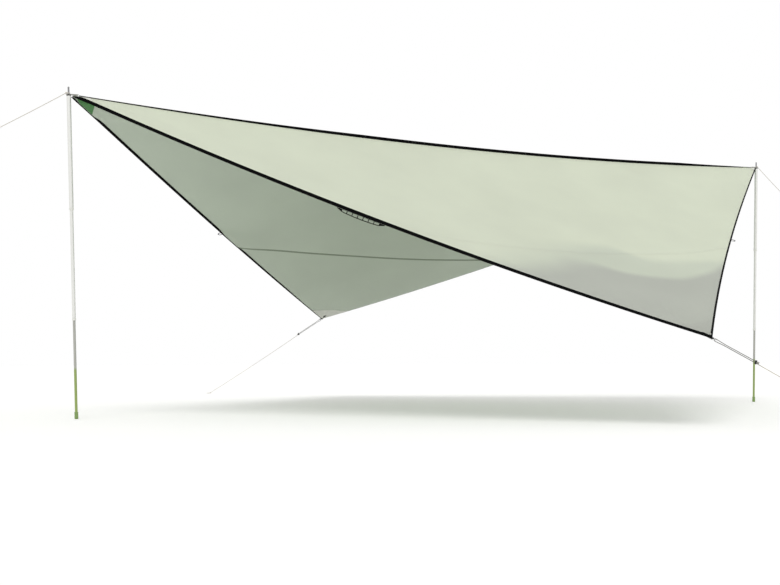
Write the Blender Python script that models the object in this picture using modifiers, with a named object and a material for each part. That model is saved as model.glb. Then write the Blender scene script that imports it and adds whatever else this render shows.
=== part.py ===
"""Square camping tarp, pitched on its diagonal over two telescopic poles.

Metres, +Z up. X runs along the ridge from the left pole to the right pole, and
Y points to the back. The origin is on the ground, in the middle of the tarp's
box without its free guy lines.
"""
import math

import bmesh
import bpy
from mathutils import Matrix, Vector

# Pitch of the cloth.
SIDE = 4.0
EYELET_HEIGHT = 1.95
FRONT_CORNER_HEIGHT = 0.467
BACK_CORNER_HEIGHT = 0.718
RIDGE_SAG = 0.092
EDGE_SAG = {"front": 0.086, "back": 0.072}
EDGE_BOW = {"front": 0.062, "back": 0.040}
BELLY = {"front": 0.030, "back": -0.005}

# Cloth, tapes and how they are cut.
CLOTH_THICKNESS = 0.0016
TAPE_THICKNESS = 0.001
LAYER_GAP = 0.0007
SEAM_DISTANCE = 1.54
SEAM_GAP = 0.0006
SEAM_TAPE_WIDTH = 0.022
BINDING_WIDTH = 0.022
RIDGE_SEAM_HEIGHT = 0.021
RIDGE_SEAM_LOW = 0.006
RIDGE_SEAM_TAPER = {"left": 0.45, "right": 0.25}
RIDGE_TAPE_FOOT = 0.0012
CORNER_CUT = 0.050
RIDGE_END_CUT = 0.062
BINDING_START = 0.060
END_PATCH_LENGTH = 0.17
CORNER_PATCH_LENGTH = 0.22
PATCH_MARGIN = 0.003

# Corner hardware.
TAB_THICKNESS = 0.0024
EYELET_TAB_WIDTH = 0.034
EYELET_TAB_OUT = 0.0145
EYELET_TAB_IN = 0.058
GROMMET_WALL = 0.0015
GROMMET_FLANGE = 0.0035
GROMMET_FLANGE_HEIGHT = 0.0008
CORNER_TAB_WIDTH = 0.020
CORNER_TAB_LENGTH = 0.085
CORNER_TAB_RISE = 0.0032
RING_WIRE = 0.003
RING_WIDTH = 0.036
RING_DEPTH = 0.022
RING_CORNER = 0.007

# Tie-out loops on the edges and the strap of loops on the front left edge.
LOOP_SHARE = 0.483
EDGE_LOOP_WIDTH = 0.034
EDGE_LOOP_DEPTH = 0.026
EDGE_LOOP_BAND = 0.006
EDGE_LOOP_THICKNESS = 0.002
STRAP_LENGTH = 0.31
STRAP_LOOPS = 7
STRAP_PITCH = 0.034
STRAP_THICKNESS = 0.0016
STRAP_START = 0.0036
STRAP_TOP_BAND = 0.0026
STRAP_LOW_BAND = 0.005
STRAP_BAR = 0.0045
STRAP_DROP = 0.017
STRAP_FULLNESS = 0.38
STRAP_SHARE = 0.97

# Poles.
POLE_LEAN = 0.077
LOWER_TUBE_DIAMETER = 0.016
TUBE_WALL = 0.0012
TUBE_CLEARANCE = 0.0013
UPPER_JOINT = 1.265
LOWER_JOINT = 0.602
TUBE_OVERLAP = 0.100
PIN_DIAMETER = 0.011
PIN_CLEARANCE = 0.001
PIN_ABOVE_EYELET = 0.048
CAP_FLANGE = 0.006
CAP_STEM = 0.026
END_RING_HEIGHT = 0.014
END_RING_PROUD = 0.0012
STUD_STEM = 0.030
STUD_FLANGE = 0.003
STUD_CORE_RADIUS = 0.0028
STUD_CONE = 0.006
STUD_HEAD_SHARE = 0.72
EXPANDER_HEIGHT = 0.022
EXPANDER_CLEARANCE = 0.0002
EXPANDER_SPLIT = 24.0
FOOT_HEIGHT = 0.042
FOOT_WALL = 0.0028
FOOT_SOLE = 0.012

# Guy lines. Slopes are below the horizontal, skews turn away from square.
CORD_DIAMETER = 0.004
KNOT_RADIUS = 0.0060
FIT_GAP = 0.0003
HAIRPIN_RADIUS = 0.0070
HAIRPIN_PLAY = 0.0008
STRAND_SPACING = 0.008
NARROWING_LENGTH = 0.070
GROUND_LOOP_RADIUS = 0.022
END_LOOP_RADIUS = 0.018
FRONT_GUY_SLOPE = math.radians(22.5)
BACK_GUY_SLOPE = math.radians(22.5)
BACK_GUY_SKEW = math.radians(17.0)
FRONT_DOUBLE_LENGTH = 0.30
BACK_DOUBLE_LENGTH = 0.33
LEFT_GUY_SLOPE = math.radians(33.0)
RIGHT_GUY_SLOPE = math.radians(36.0)
LEFT_GUY_LENGTH = 0.47
RIGHT_GUY_LENGTH = 0.33
CORD_SAG_SHARE = 0.004
SLIDER_WIDTH = 0.010
SLIDER_MARGIN = 0.0045
SLIDER_THICKNESS = 0.009
SLIDER_HOLE_CLEARANCE = 0.0004

# Mesh fineness.
ROUND_SIDES = 20
CORD_SIDES = 6
ROWS_PER_METRE = 6.0
UPPER_CLOTH_COLUMNS = 24
LOWER_CLOTH_COLUMNS = 18

HALF = SIDE / math.sqrt(2.0)
UP = Vector((0.0, 0.0, 1.0))
SLOPE_SIGN = {"front": -1.0, "back": 1.0}
END_SIGN = {"left": -1.0, "right": 1.0}
CORNER_HEIGHT = {"front": FRONT_CORNER_HEIGHT, "back": BACK_CORNER_HEIGHT}
SLOPE_DROP = {side: EYELET_HEIGHT - height for side, height in CORNER_HEIGHT.items()}
SLOPE_REACH = {side: math.sqrt(HALF ** 2 - drop ** 2) for side, drop in SLOPE_DROP.items()}
RING_TIP = RING_DEPTH + RING_WIRE / 2
CORNER_EXTENT = {side: reach * (1.0 + RING_TIP / HALF) for side, reach in SLOPE_REACH.items()}
RIDGE_Y = (CORNER_EXTENT["front"] - CORNER_EXTENT["back"]) / 2

COVER_RISE = CLOTH_THICKNESS / 2 + LAYER_GAP + TAPE_THICKNESS / 2
RIDGE_GAP = (CLOTH_THICKNESS + LAYER_GAP) / 2
CLOTH_INSET = TAPE_THICKNESS + LAYER_GAP
MIDDLE_TUBE_DIAMETER = LOWER_TUBE_DIAMETER + 2 * (TUBE_CLEARANCE + TUBE_WALL)
UPPER_TUBE_DIAMETER = MIDDLE_TUBE_DIAMETER + 2 * (TUBE_CLEARANCE + TUBE_WALL)
EYELET_RADIUS = PIN_DIAMETER / 2 + PIN_CLEARANCE


def clear_scene():
    """Take away whatever the scene holds."""
    for item in list(bpy.data.objects):
        bpy.data.objects.remove(item, do_unlink=True)


clear_scene()
TARP = bpy.data.collections.new("camping_tarp")
CUTTERS = bpy.data.collections.new("cutters")
bpy.context.scene.collection.children.link(TARP)
bpy.context.scene.collection.children.link(CUTTERS)


def finish(name, colour, roughness, metallic=0.0):
    """A plain material of one colour."""
    made = bpy.data.materials.new(name)
    made.use_nodes = True
    shader = made.node_tree.nodes["Principled BSDF"]
    shader.inputs["Base Color"].default_value = (*colour, 1.0)
    shader.inputs["Roughness"].default_value = roughness
    shader.inputs["Metallic"].default_value = metallic
    return made


CLOTH = finish("coated_polyester", (0.62, 0.67, 0.54), 0.62)
TAPE = finish("black_polyester_tape", (0.012, 0.012, 0.014), 0.8)
PATCH = finish("green_patch_cloth", (0.09, 0.26, 0.10), 0.7)
WEB = finish("black_webbing", (0.014, 0.014, 0.016), 0.85)
PALE_WEB = finish("pale_webbing", (0.55, 0.55, 0.52), 0.85)
NICKEL = finish("nickel_plated_brass", (0.60, 0.58, 0.54), 0.3, 1.0)
STEEL = finish("steel_wire", (0.55, 0.55, 0.56), 0.3, 1.0)
ALUMINIUM = finish("aluminium_tube", (0.72, 0.72, 0.71), 0.32, 1.0)
PLASTIC = finish("pale_nylon", (0.70, 0.70, 0.66), 0.5)
DARK_PLASTIC = finish("dark_nylon", (0.06, 0.06, 0.06), 0.5)
RUBBER = finish("green_rubber", (0.24, 0.36, 0.12), 0.85)
CORD = finish("pale_cord", (0.62, 0.65, 0.55), 0.8)


def add_object(name, data, material, matrix=None):
    """Put a mesh or a curve in the tarp's collection."""
    made = bpy.data.objects.new(name, data)
    data.materials.append(material)
    if matrix is not None:
        made.matrix_world = matrix
    TARP.objects.link(made)
    return made


def share_steps(start, end, per_metre, metres, least=2):
    """Evenly spaced values from start to end, about so many for each metre."""
    count = max(least, round(per_metre * metres))
    return [start + (end - start) * i / count for i in range(count + 1)]


def edge_point(side, end, down):
    """Point on an edge of the cloth: down is 0 at the ridge's end, 1 at the low corner."""
    start = Vector((END_SIGN[end] * HALF, RIDGE_Y, EYELET_HEIGHT))
    other = Vector((-END_SIGN[end] * HALF, RIDGE_Y, EYELET_HEIGHT))
    corner = Vector((0.0, RIDGE_Y + SLOPE_SIGN[side] * SLOPE_REACH[side], CORNER_HEIGHT[side]))
    inward = (other - corner).normalized()
    bow = 4.0 * down * (1.0 - down)
    return start.lerp(corner, down) + inward * EDGE_BOW[side] * bow - UP * EDGE_SAG[side] * bow


def cloth_point(side, across, down):
    """Point in the middle of the cloth's thickness: across runs 0 to 1 from the left edge to the right."""
    left = edge_point(side, "left", down)
    right = edge_point(side, "right", down)
    sag = RIDGE_SAG * (1.0 - down) + BELLY[side] * 4.0 * down * (1.0 - down)
    point = left.lerp(right, across)
    point.z -= sag * 4.0 * across * (1.0 - across)
    return point


def cloth_normal(side, across, down):
    """Upward unit normal of the cloth."""
    step = 0.001
    low_across, high_across = max(0.0, across - step), min(1.0, across + step)
    low_down, high_down = max(0.0, down - step), min(1.0 - step, down + step)
    along = cloth_point(side, high_across, down) - cloth_point(side, low_across, down)
    fall = cloth_point(side, across, high_down) - cloth_point(side, across, low_down)
    normal = along.cross(fall).normalized()
    return normal if normal.z > 0 else -normal


def over_cloth(side, across, down, rise):
    """Point at a height over the cloth, or under it where rise is negative."""
    return cloth_point(side, across, down) + cloth_normal(side, across, down) * rise


def row_width(side, down):
    """Length of the straight line across the cloth, level with the ridge."""
    return (edge_point(side, "right", down) - edge_point(side, "left", down)).length


def inset_share(side, down, inset):
    """Share of a row that a distance square to the edge takes up."""
    return inset * math.sqrt(2.0) / row_width(side, down)


def share_at_x(side, down, x):
    """Share of a row at which it passes a place along the ridge."""
    left = edge_point(side, "left", down)
    return (x - left.x) / row_width(side, down)


def down_at_lip(side, end, x, inset):
    """How far down a slope a line square to the ridge meets the line inset from the edge."""
    low, high = 0.0, 1.0 - abs(x) / HALF
    for _ in range(24):
        middle = (low + high) / 2
        edge = abs(edge_point(side, end, middle).x) - inset * math.sqrt(2.0)
        if edge > abs(x):
            low = middle
        else:
            high = middle
    return low


def ridge_point(across, rise):
    """Point over the ridge line, or under it where rise is negative."""
    tilt = (cloth_normal("front", across, 0.0).z + cloth_normal("back", across, 0.0).z) / 2
    return cloth_point("front", across, 0.0) + UP * rise / tilt


def ridge_seam_height(across):
    """Height of the standing ridge seam, which runs low towards the ridge's ends."""
    from_left = 2 * HALF * across - RIDGE_END_CUT
    from_right = 2 * HALF * (1.0 - across) - RIDGE_END_CUT
    share = min(1.0, from_left / RIDGE_SEAM_TAPER["left"], from_right / RIDGE_SEAM_TAPER["right"])
    return RIDGE_SEAM_LOW + (RIDGE_SEAM_HEIGHT - RIDGE_SEAM_LOW) * share


def sheet(name, across, along, place, thickness, material):
    """A sheet: a grid whose points are put in place by a rule, then given its thickness."""
    mesh = bpy.data.meshes.new(name)
    grid = bmesh.new()
    bmesh.ops.create_grid(grid, x_segments=len(across) - 1, y_segments=len(along) - 1, size=0.5)
    for vert in grid.verts:
        column = round((vert.co.x + 0.5) * (len(across) - 1))
        row = round((vert.co.y + 0.5) * (len(along) - 1))
        vert.co = place(across[column], along[row])
    grid.to_mesh(mesh)
    grid.free()
    made = add_object(name, mesh, material)
    wall = made.modifiers.new("thickness", "SOLIDIFY")
    wall.thickness = thickness
    wall.offset = 0.0
    wall.use_even_offset = True
    return made


def turned(name, profile, material, matrix, closed=True):
    """A turned piece: a profile of radius and height pairs, outer side first, top to bottom."""
    mesh = bpy.data.meshes.new(name)
    edges = [(i, i + 1) for i in range(len(profile) - 1)]
    if closed:
        edges.append((len(profile) - 1, 0))
    mesh.from_pydata([(radius, 0.0, height) for radius, height in profile], edges, [])
    made = add_object(name, mesh, material, matrix)
    screw = made.modifiers.new("turn", "SCREW")
    screw.steps = ROUND_SIDES
    screw.render_steps = ROUND_SIDES
    screw.use_merge_vertices = True
    screw.merge_threshold = 0.00001
    return made


def pipe_profile(outer, inner, top, bottom):
    """Profile of a plain tube."""
    return [(outer, top), (outer, bottom), (inner, bottom), (inner, top)]


def cord_tube(name, points, radius, material, cyclic=False):
    """A round cord or wire along a list of points."""
    curve = bpy.data.curves.new(name, "CURVE")
    curve.dimensions = "3D"
    curve.bevel_depth = radius
    curve.bevel_resolution = 2
    curve.use_fill_caps = True
    spline = curve.splines.new("POLY")
    spline.points.add(len(points) - 1)
    for target, point in zip(spline.points, points):
        target.co = (*point, 1.0)
    spline.use_cyclic_u = cyclic
    return add_object(name, curve, material)


def plate(name, outlines, thickness, material, matrix):
    """A flat piece cut to an outline; further outlines inside the first are its holes."""
    curve = bpy.data.curves.new(name, "CURVE")
    curve.dimensions = "2D"
    curve.fill_mode = "BOTH"
    curve.extrude = thickness / 2
    for outline in outlines:
        spline = curve.splines.new("POLY")
        spline.points.add(len(outline) - 1)
        for target, (x, y) in zip(spline.points, outline):
            target.co = (x, y, 0.0, 1.0)
        spline.use_cyclic_u = True
    return add_object(name, curve, material, matrix)


def circle_outline(radius, centre=(0.0, 0.0), sides=ROUND_SIDES):
    """Points round a circle."""
    turns = [2.0 * math.pi * i / sides for i in range(sides)]
    return [(centre[0] + radius * math.cos(a), centre[1] + radius * math.sin(a)) for a in turns]


def rounded_outline(low, high, radius, corner_steps=4):
    """Points round a rectangle with round corners, from its low corner to its high one."""
    centres = (
        (high[0] - radius, high[1] - radius),
        (low[0] + radius, high[1] - radius),
        (low[0] + radius, low[1] + radius),
        (high[0] - radius, low[1] + radius),
    )
    points = []
    for quarter, centre in enumerate(centres):
        for i in range(corner_steps + 1):
            angle = math.pi / 2 * (quarter + i / corner_steps)
            points.append((centre[0] + radius * math.cos(angle), centre[1] + radius * math.sin(angle)))
    return points


def axes_matrix(x_axis, y_axis, z_axis, origin):
    """Matrix that puts a piece's own axes along the given ones."""
    turn = Matrix((x_axis, y_axis, z_axis)).transposed().to_4x4()
    return Matrix.Translation(origin) @ turn


def as_mesh(made):
    """Turn a curve piece into a mesh piece with its caps welded."""
    bpy.context.view_layer.update()
    graph = bpy.context.evaluated_depsgraph_get()
    mesh = bpy.data.meshes.new_from_object(made.evaluated_get(graph))
    body = bmesh.new()
    body.from_mesh(mesh)
    bmesh.ops.remove_doubles(body, verts=body.verts, dist=0.00001)
    body.to_mesh(mesh)
    body.free()
    solid = bpy.data.objects.new(made.name, mesh)
    solid.matrix_world = made.matrix_world
    TARP.objects.link(solid)
    bpy.data.objects.remove(made, do_unlink=True)
    return solid


def fused(name, pieces):
    """One cord piece from overlapping shapes, joined to the first of them."""
    base = pieces[0]
    base.name = name
    for other in pieces[1:]:
        TARP.objects.unlink(other)
        CUTTERS.objects.link(other)
        other.hide_render = True
        other.display_type = "WIRE"
        join = base.modifiers.new("join", "BOOLEAN")
        join.operation = "UNION"
        join.object = other
    return base


def cloth_panel(side, name, top, bottom, columns):
    """One width of cloth between two lines level with the ridge, turned up where it meets the ridge."""
    first_full = RIDGE_END_CUT / HALF
    start = max(top, first_full)
    flat_rows = share_steps(start, bottom, ROWS_PER_METRE, (bottom - top) * HALF, least=5)
    rows = [(down, False) for down in flat_rows]
    if top < first_full:
        rows = [(top, True), (top, False)] + rows
    shares = [i / columns for i in range(columns + 1)]

    def place(share, row):
        down, turned_up = row
        inset = inset_share(side, down, CLOTH_INSET)
        left = max(inset, share_at_x(side, down, -HALF + RIDGE_END_CUT))
        right = min(1.0 - inset, share_at_x(side, down, HALF - RIDGE_END_CUT))
        across = left + (right - left) * share
        rise = ridge_seam_height(across) - TAPE_THICKNESS - LAYER_GAP if turned_up else 0.0
        return cloth_point(side, across, down) + UP * rise

    return sheet(name, shares, rows, place, CLOTH_THICKNESS, CLOTH)


def edge_binding(side, end):
    """Tape folded over an edge of the cloth."""
    last = 1.0 - CORNER_CUT / HALF
    rows = share_steps(BINDING_START / SIDE, last, ROWS_PER_METRE, SIDE)
    fold = TAPE_THICKNESS / 2
    section = [(BINDING_WIDTH, COVER_RISE), (fold, COVER_RISE),
               (fold, -COVER_RISE), (BINDING_WIDTH, -COVER_RISE)]

    def place(point, down):
        inset = inset_share(side, down, point[0])
        across = inset if end == "left" else 1.0 - inset
        return over_cloth(side, across, down, point[1])

    return sheet(f"{side}_{end}_edge_binding", section, rows, place, TAPE_THICKNESS, TAPE)


def seam_tape(side):
    """Tape along the seam, under the cloth."""
    middle = SEAM_DISTANCE / HALF
    half_width = SEAM_TAPE_WIDTH / 2 / HALF
    columns = [i / LOWER_CLOTH_COLUMNS for i in range(LOWER_CLOTH_COLUMNS + 1)]

    def place(share, down):
        inset = inset_share(side, down, BINDING_WIDTH + PATCH_MARGIN)
        return over_cloth(side, inset + (1.0 - 2.0 * inset) * share, down, -COVER_RISE)

    return sheet(f"{side}_seam_tape", columns, [middle - half_width, middle + half_width], place,
                 TAPE_THICKNESS, TAPE)


def ridge_tape():
    """Tape folded over the two turned-up edges of cloth, which stand along the ridge."""
    start = RIDGE_END_CUT / (2 * HALF)
    steps = range(UPPER_CLOTH_COLUMNS + 1)
    along = [start + (1.0 - 2.0 * start) * i / UPPER_CLOTH_COLUMNS for i in steps]
    reach = RIDGE_GAP + COVER_RISE
    section = [(-reach, False), (-reach, True), (reach, True), (reach, False)]

    def place(corner, share):
        offset, high = corner
        rise = ridge_seam_height(share) if high else RIDGE_TAPE_FOOT
        return cloth_point("front", share, 0.0) + Vector((0.0, offset, rise))

    return sheet("ridge_tape", section, along, place, TAPE_THICKNESS, TAPE)


def ridge_end_patch(end):
    """Doubling cloth under the canopy's end, folded along the ridge."""
    sign = END_SIGN[end]
    start = RIDGE_END_CUT
    stations = share_steps(start, END_PATCH_LENGTH, ROWS_PER_METRE, END_PATCH_LENGTH, least=4)
    shares = [-1.0, -0.5, 0.0, 0.5, 1.0]

    def place(share, station):
        x = sign * (HALF - station)
        if share == 0.0:
            return ridge_point((x + HALF) / (2 * HALF), -COVER_RISE)
        side = "front" if share < 0 else "back"
        down = abs(share) * down_at_lip(side, end, x, BINDING_WIDTH + PATCH_MARGIN)
        return over_cloth(side, share_at_x(side, down, x), down, -COVER_RISE)

    return sheet(f"{end}_end_patch", shares, stations, place, TAPE_THICKNESS, PATCH)


def corner_patch(side):
    """Doubling cloth under a low corner."""
    first = 1.0 - CORNER_PATCH_LENGTH / HALF
    last = 1.0 - CORNER_CUT / HALF
    rows = share_steps(first, last, ROWS_PER_METRE, CORNER_PATCH_LENGTH, least=4)

    def place(share, down):
        inset = inset_share(side, down, BINDING_WIDTH + PATCH_MARGIN)
        return over_cloth(side, inset + (1.0 - 2.0 * inset) * share, down, -COVER_RISE)

    return sheet(f"{side}_corner_patch", share_steps(0.0, 1.0, 1.0, 4.0), rows, place, TAPE_THICKNESS, CLOTH)


def corner_axes(side):
    """Origin and axes of a low corner: across, outwards down the slope, and square to the cloth."""
    tip = edge_point(side, "left", 1.0)
    outward = (tip - cloth_point(side, 0.5, 1.0 - CORNER_TAB_LENGTH / HALF)).normalized()
    across = Vector((1.0, 0.0, 0.0))
    normal = across.cross(outward)
    if normal.z < 0:
        normal = -normal
    return tip, across, outward, normal


def corner_tab(side):
    """Webbing folded round the ring's near bar, its two ends over and under the corner of the cloth."""
    tip, across, outward, normal = corner_axes(side)
    bend = [math.pi / 2 - math.pi * i / 8 for i in range(9)]
    section = [(-CORNER_TAB_LENGTH, CORNER_TAB_RISE)]
    section += [(CORNER_TAB_RISE * math.cos(a), CORNER_TAB_RISE * math.sin(a)) for a in bend]
    section += [(-CORNER_TAB_LENGTH, -CORNER_TAB_RISE)]

    def place(point, offset):
        return tip + across * offset + outward * point[0] + normal * point[1]

    return sheet(f"{side}_corner_tab", section, [-CORNER_TAB_WIDTH / 2, CORNER_TAB_WIDTH / 2], place,
                 TAPE_THICKNESS, WEB)


def corner_ring(side):
    """Four-sided wire ring at a low corner."""
    tip, across, outward, _ = corner_axes(side)
    flat = rounded_outline((-RING_WIDTH / 2, 0.0), (RING_WIDTH / 2, RING_DEPTH), RING_CORNER)
    points = [tip + across * x + outward * y for x, y in flat]
    return cord_tube(f"{side}_corner_ring", points, RING_WIRE / 2, STEEL, cyclic=True)


def edge_place(side, end, down):
    """A place on an edge, and the direction of the edge there."""
    step = 0.01
    ahead = edge_point(side, end, down + step) - edge_point(side, end, down - step)
    return edge_point(side, end, down), ahead.normalized()


def edge_loop(side, end):
    """Flat tie-out loop near the middle of an edge, with its hole square to the cloth."""
    centre, ahead = edge_place(side, end, LOOP_SHARE)
    inset = inset_share(side, LOOP_SHARE, BINDING_WIDTH)
    normal = cloth_normal(side, inset if end == "left" else 1.0 - inset, LOOP_SHARE)
    outward = ahead.cross(normal).normalized()
    if outward.x * END_SIGN[end] < 0:
        outward = -outward
    square = outward.cross(ahead)
    gap = 2 * LAYER_GAP
    hole = EDGE_LOOP_BAND
    outer = rounded_outline((gap, -EDGE_LOOP_WIDTH / 2), (gap + EDGE_LOOP_DEPTH, EDGE_LOOP_WIDTH / 2), 0.008)
    inner = rounded_outline((gap + hole, hole - EDGE_LOOP_WIDTH / 2),
                            (gap + EDGE_LOOP_DEPTH - hole, EDGE_LOOP_WIDTH / 2 - hole), 0.004)
    matrix = axes_matrix(outward, ahead, square, centre)
    return plate(f"{side}_{end}_edge_loop", [outer, inner], EDGE_LOOP_THICKNESS, WEB, matrix)


def strap_depth(along):
    """How far the strap's lower edge hangs at a distance from the strap's middle."""
    return STRAP_TOP_BAND + STRAP_DROP * math.cos(math.pi * along / STRAP_LENGTH) ** STRAP_FULLNESS


def strap_frame():
    """Frame of the strap: X along the front left edge, Y hanging down from it."""
    centre, ahead = edge_place("front", "left", LOOP_SHARE)
    hang = (ahead * UP.dot(ahead) - UP).normalized()
    return axes_matrix(ahead, hang, ahead.cross(hang), centre + hang * STRAP_START)


def strap_window(number):
    """Ends of one loop's opening, along the strap from its middle."""
    middle = (number - (STRAP_LOOPS - 1) / 2) * STRAP_PITCH
    half = (STRAP_PITCH - STRAP_BAR) / 2
    return middle - half, middle + half


def loop_strap():
    """Strap slung in a shallow arc under the front left edge, with bars that part it into loops."""
    steps = 32
    half = STRAP_LENGTH / 2 * STRAP_SHARE
    places = [-half + 2 * half * i / steps for i in range(steps + 1)]
    outline = [(-half, 0.0), (half, 0.0)] + [(x, strap_depth(x)) for x in reversed(places)]
    windows = []
    for number in range(STRAP_LOOPS):
        first, last = strap_window(number)
        low = [first + (last - first) * i / 4 for i in range(5)]
        window = [(first, STRAP_TOP_BAND), (last, STRAP_TOP_BAND)]
        windows.append(window + [(x, strap_depth(x) - STRAP_LOW_BAND) for x in reversed(low)])
    return plate("front_loop_strap", [outline, *windows], STRAP_THICKNESS, WEB, strap_frame())


def pole_matrix(end):
    """Frame of a pole: its origin on the ground at the foot, its Z axis up the pole to the eyelet."""
    sign = END_SIGN[end]
    foot = Vector((sign * (HALF - POLE_LEAN), RIDGE_Y, 0.0))
    eyelet = Vector((sign * HALF, RIDGE_Y, EYELET_HEIGHT))
    axis = (eyelet - foot).normalized()
    level = Vector((0.0, 1.0, 0.0))
    return axes_matrix(level.cross(axis), level, axis, foot)


POLE_LENGTH = math.hypot(EYELET_HEIGHT, POLE_LEAN)
EYELET_TAB_TOP = POLE_LENGTH + TAB_THICKNESS / 2
EYELET_TAB_BOTTOM = POLE_LENGTH - TAB_THICKNESS / 2
GROMMET_TOP = EYELET_TAB_TOP + FIT_GAP + GROMMET_FLANGE_HEIGHT
GROMMET_BOTTOM = EYELET_TAB_BOTTOM - FIT_GAP - GROMMET_FLANGE_HEIGHT
CAP_TOP = GROMMET_BOTTOM - FIT_GAP
UPPER_TUBE_TOP = CAP_TOP - CAP_FLANGE - FIT_GAP


def pole_tube(end, name, diameter, bottom, top):
    """One section of a pole."""
    profile = pipe_profile(diameter / 2, diameter / 2 - TUBE_WALL, top, bottom)
    return turned(f"{end}_{name}_tube", profile, ALUMINIUM, pole_matrix(end))


def pole_top(end):
    """Plug in the top of the pole, and the pin that stands in it."""
    bore = PIN_DIAMETER / 2 + FIT_GAP
    stem = UPPER_TUBE_DIAMETER / 2 - TUBE_WALL - FIT_GAP
    flange_base = CAP_TOP - CAP_FLANGE
    bottom = flange_base - CAP_STEM
    cap = [(UPPER_TUBE_DIAMETER / 2, CAP_TOP), (UPPER_TUBE_DIAMETER / 2, flange_base), (stem, flange_base),
           (stem, bottom), (bore, bottom), (bore, CAP_TOP)]
    turned(f"{end}_pole_cap", cap, DARK_PLASTIC, pole_matrix(end))
    radius = PIN_DIAMETER / 2
    tip = POLE_LENGTH + PIN_ABOVE_EYELET
    dome = [math.pi / 2 * i / 5 for i in range(6)]
    pin = [(radius * math.sin(a), tip - radius + radius * math.cos(a)) for a in dome]
    pin += [(radius, bottom), (0.0, bottom)]
    turned(f"{end}_pole_pin", pin, STEEL, pole_matrix(end), closed=False)


def end_ring(end, name, outer_diameter, inner_diameter, joint):
    """Ring that closes the lower end of an outer tube round the tube that slides in it."""
    profile = pipe_profile(outer_diameter / 2 + END_RING_PROUD, inner_diameter / 2 + FIT_GAP,
                           joint - FIT_GAP, joint - END_RING_HEIGHT)
    return turned(f"{end}_{name}_end_ring", profile, PLASTIC, pole_matrix(end))


def twist_lock(end, name, outer_diameter, inner_diameter, top):
    """Stud in the top of an inner tube, and the split sleeve that it spreads in the outer tube."""
    stem = inner_diameter / 2 - TUBE_WALL - FIT_GAP
    flange_top = top + FIT_GAP + STUD_FLANGE
    sleeve_bottom = flange_top + FIT_GAP
    sleeve_top = sleeve_bottom + EXPANDER_HEIGHT
    sleeve_outer = outer_diameter / 2 - TUBE_WALL - EXPANDER_CLEARANCE
    head = sleeve_outer * STUD_HEAD_SHARE
    cone_bottom = sleeve_top + FIT_GAP
    stud = [(0.0, cone_bottom + STUD_CONE), (head, cone_bottom + STUD_CONE), (STUD_CORE_RADIUS, cone_bottom),
            (STUD_CORE_RADIUS, flange_top), (inner_diameter / 2, flange_top),
            (inner_diameter / 2, top + FIT_GAP), (stem, top + FIT_GAP), (stem, top - STUD_STEM),
            (0.0, top - STUD_STEM)]
    turned(f"{end}_{name}_lock_stud", stud, DARK_PLASTIC, pole_matrix(end), closed=False)
    gap = math.radians(EXPANDER_SPLIT / 2)
    turns = [gap + (2 * math.pi - 2 * gap) * i / ROUND_SIDES for i in range(ROUND_SIDES + 1)]
    bore = STUD_CORE_RADIUS + FIT_GAP
    outline = [(sleeve_outer * math.cos(a), sleeve_outer * math.sin(a)) for a in turns]
    outline += [(bore * math.cos(a), bore * math.sin(a)) for a in reversed(turns)]
    lift = Matrix.Translation((0.0, 0.0, (sleeve_bottom + sleeve_top) / 2))
    plate(f"{end}_{name}_lock_sleeve", [outline], EXPANDER_HEIGHT, PLASTIC, pole_matrix(end) @ lift)


def ground_cutter():
    """Block whose top is the ground, which trims the feet level."""
    mesh = bpy.data.meshes.new("ground_cutter")
    block = bmesh.new()
    bmesh.ops.create_cube(block, size=1.0)
    size = Vector((4 * HALF, 1.0, 0.2))
    for vert in block.verts:
        vert.co = Vector((vert.co.x * size.x, RIDGE_Y + vert.co.y * size.y, (vert.co.z - 0.5) * size.z))
    block.to_mesh(mesh)
    block.free()
    cutter = bpy.data.objects.new("ground_cutter", mesh)
    cutter.hide_render = True
    cutter.display_type = "WIRE"
    CUTTERS.objects.link(cutter)
    return cutter


def pole_foot(end, cutter):
    """Rubber foot over the lower tube's end, trimmed level with the ground."""
    outer = LOWER_TUBE_DIAMETER / 2 + FIT_GAP + FOOT_WALL
    pocket = LOWER_TUBE_DIAMETER / 2 + FIT_GAP
    spare = 2 * outer * POLE_LEAN / EYELET_HEIGHT
    profile = [(0.0, FOOT_SOLE), (pocket, FOOT_SOLE), (pocket, FOOT_HEIGHT), (outer, FOOT_HEIGHT),
               (outer, -spare), (0.0, -spare)]
    made = turned(f"{end}_foot", profile, RUBBER, pole_matrix(end), closed=False)
    trim = made.modifiers.new("level", "BOOLEAN")
    trim.operation = "DIFFERENCE"
    trim.object = cutter
    return made


def eyelet_tab(end):
    """Webbing tab that carries the grommet at an end of the ridge."""
    inward = -END_SIGN[end]
    reach = sorted((-inward * EYELET_TAB_OUT, inward * EYELET_TAB_IN))
    outer = rounded_outline((reach[0], -EYELET_TAB_WIDTH / 2), (reach[1], EYELET_TAB_WIDTH / 2), 0.006)
    hole = circle_outline(EYELET_RADIUS + GROMMET_WALL + FIT_GAP)
    matrix = pole_matrix(end) @ Matrix.Translation((0.0, 0.0, POLE_LENGTH))
    return plate(f"{end}_eyelet_tab", [outer, hole], TAB_THICKNESS, PALE_WEB, matrix)


def grommet(end):
    """Two-sided metal eyelet in the tab."""
    wall = EYELET_RADIUS + GROMMET_WALL
    rim = wall + GROMMET_FLANGE
    top, bottom = GROMMET_TOP, GROMMET_BOTTOM
    profile = [(rim, top), (rim, top - GROMMET_FLANGE_HEIGHT), (wall, top - GROMMET_FLANGE_HEIGHT),
               (wall, bottom + GROMMET_FLANGE_HEIGHT), (rim, bottom + GROMMET_FLANGE_HEIGHT), (rim, bottom),
               (EYELET_RADIUS, bottom), (EYELET_RADIUS, top)]
    return turned(f"{end}_grommet", profile, NICKEL, pole_matrix(end))


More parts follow.
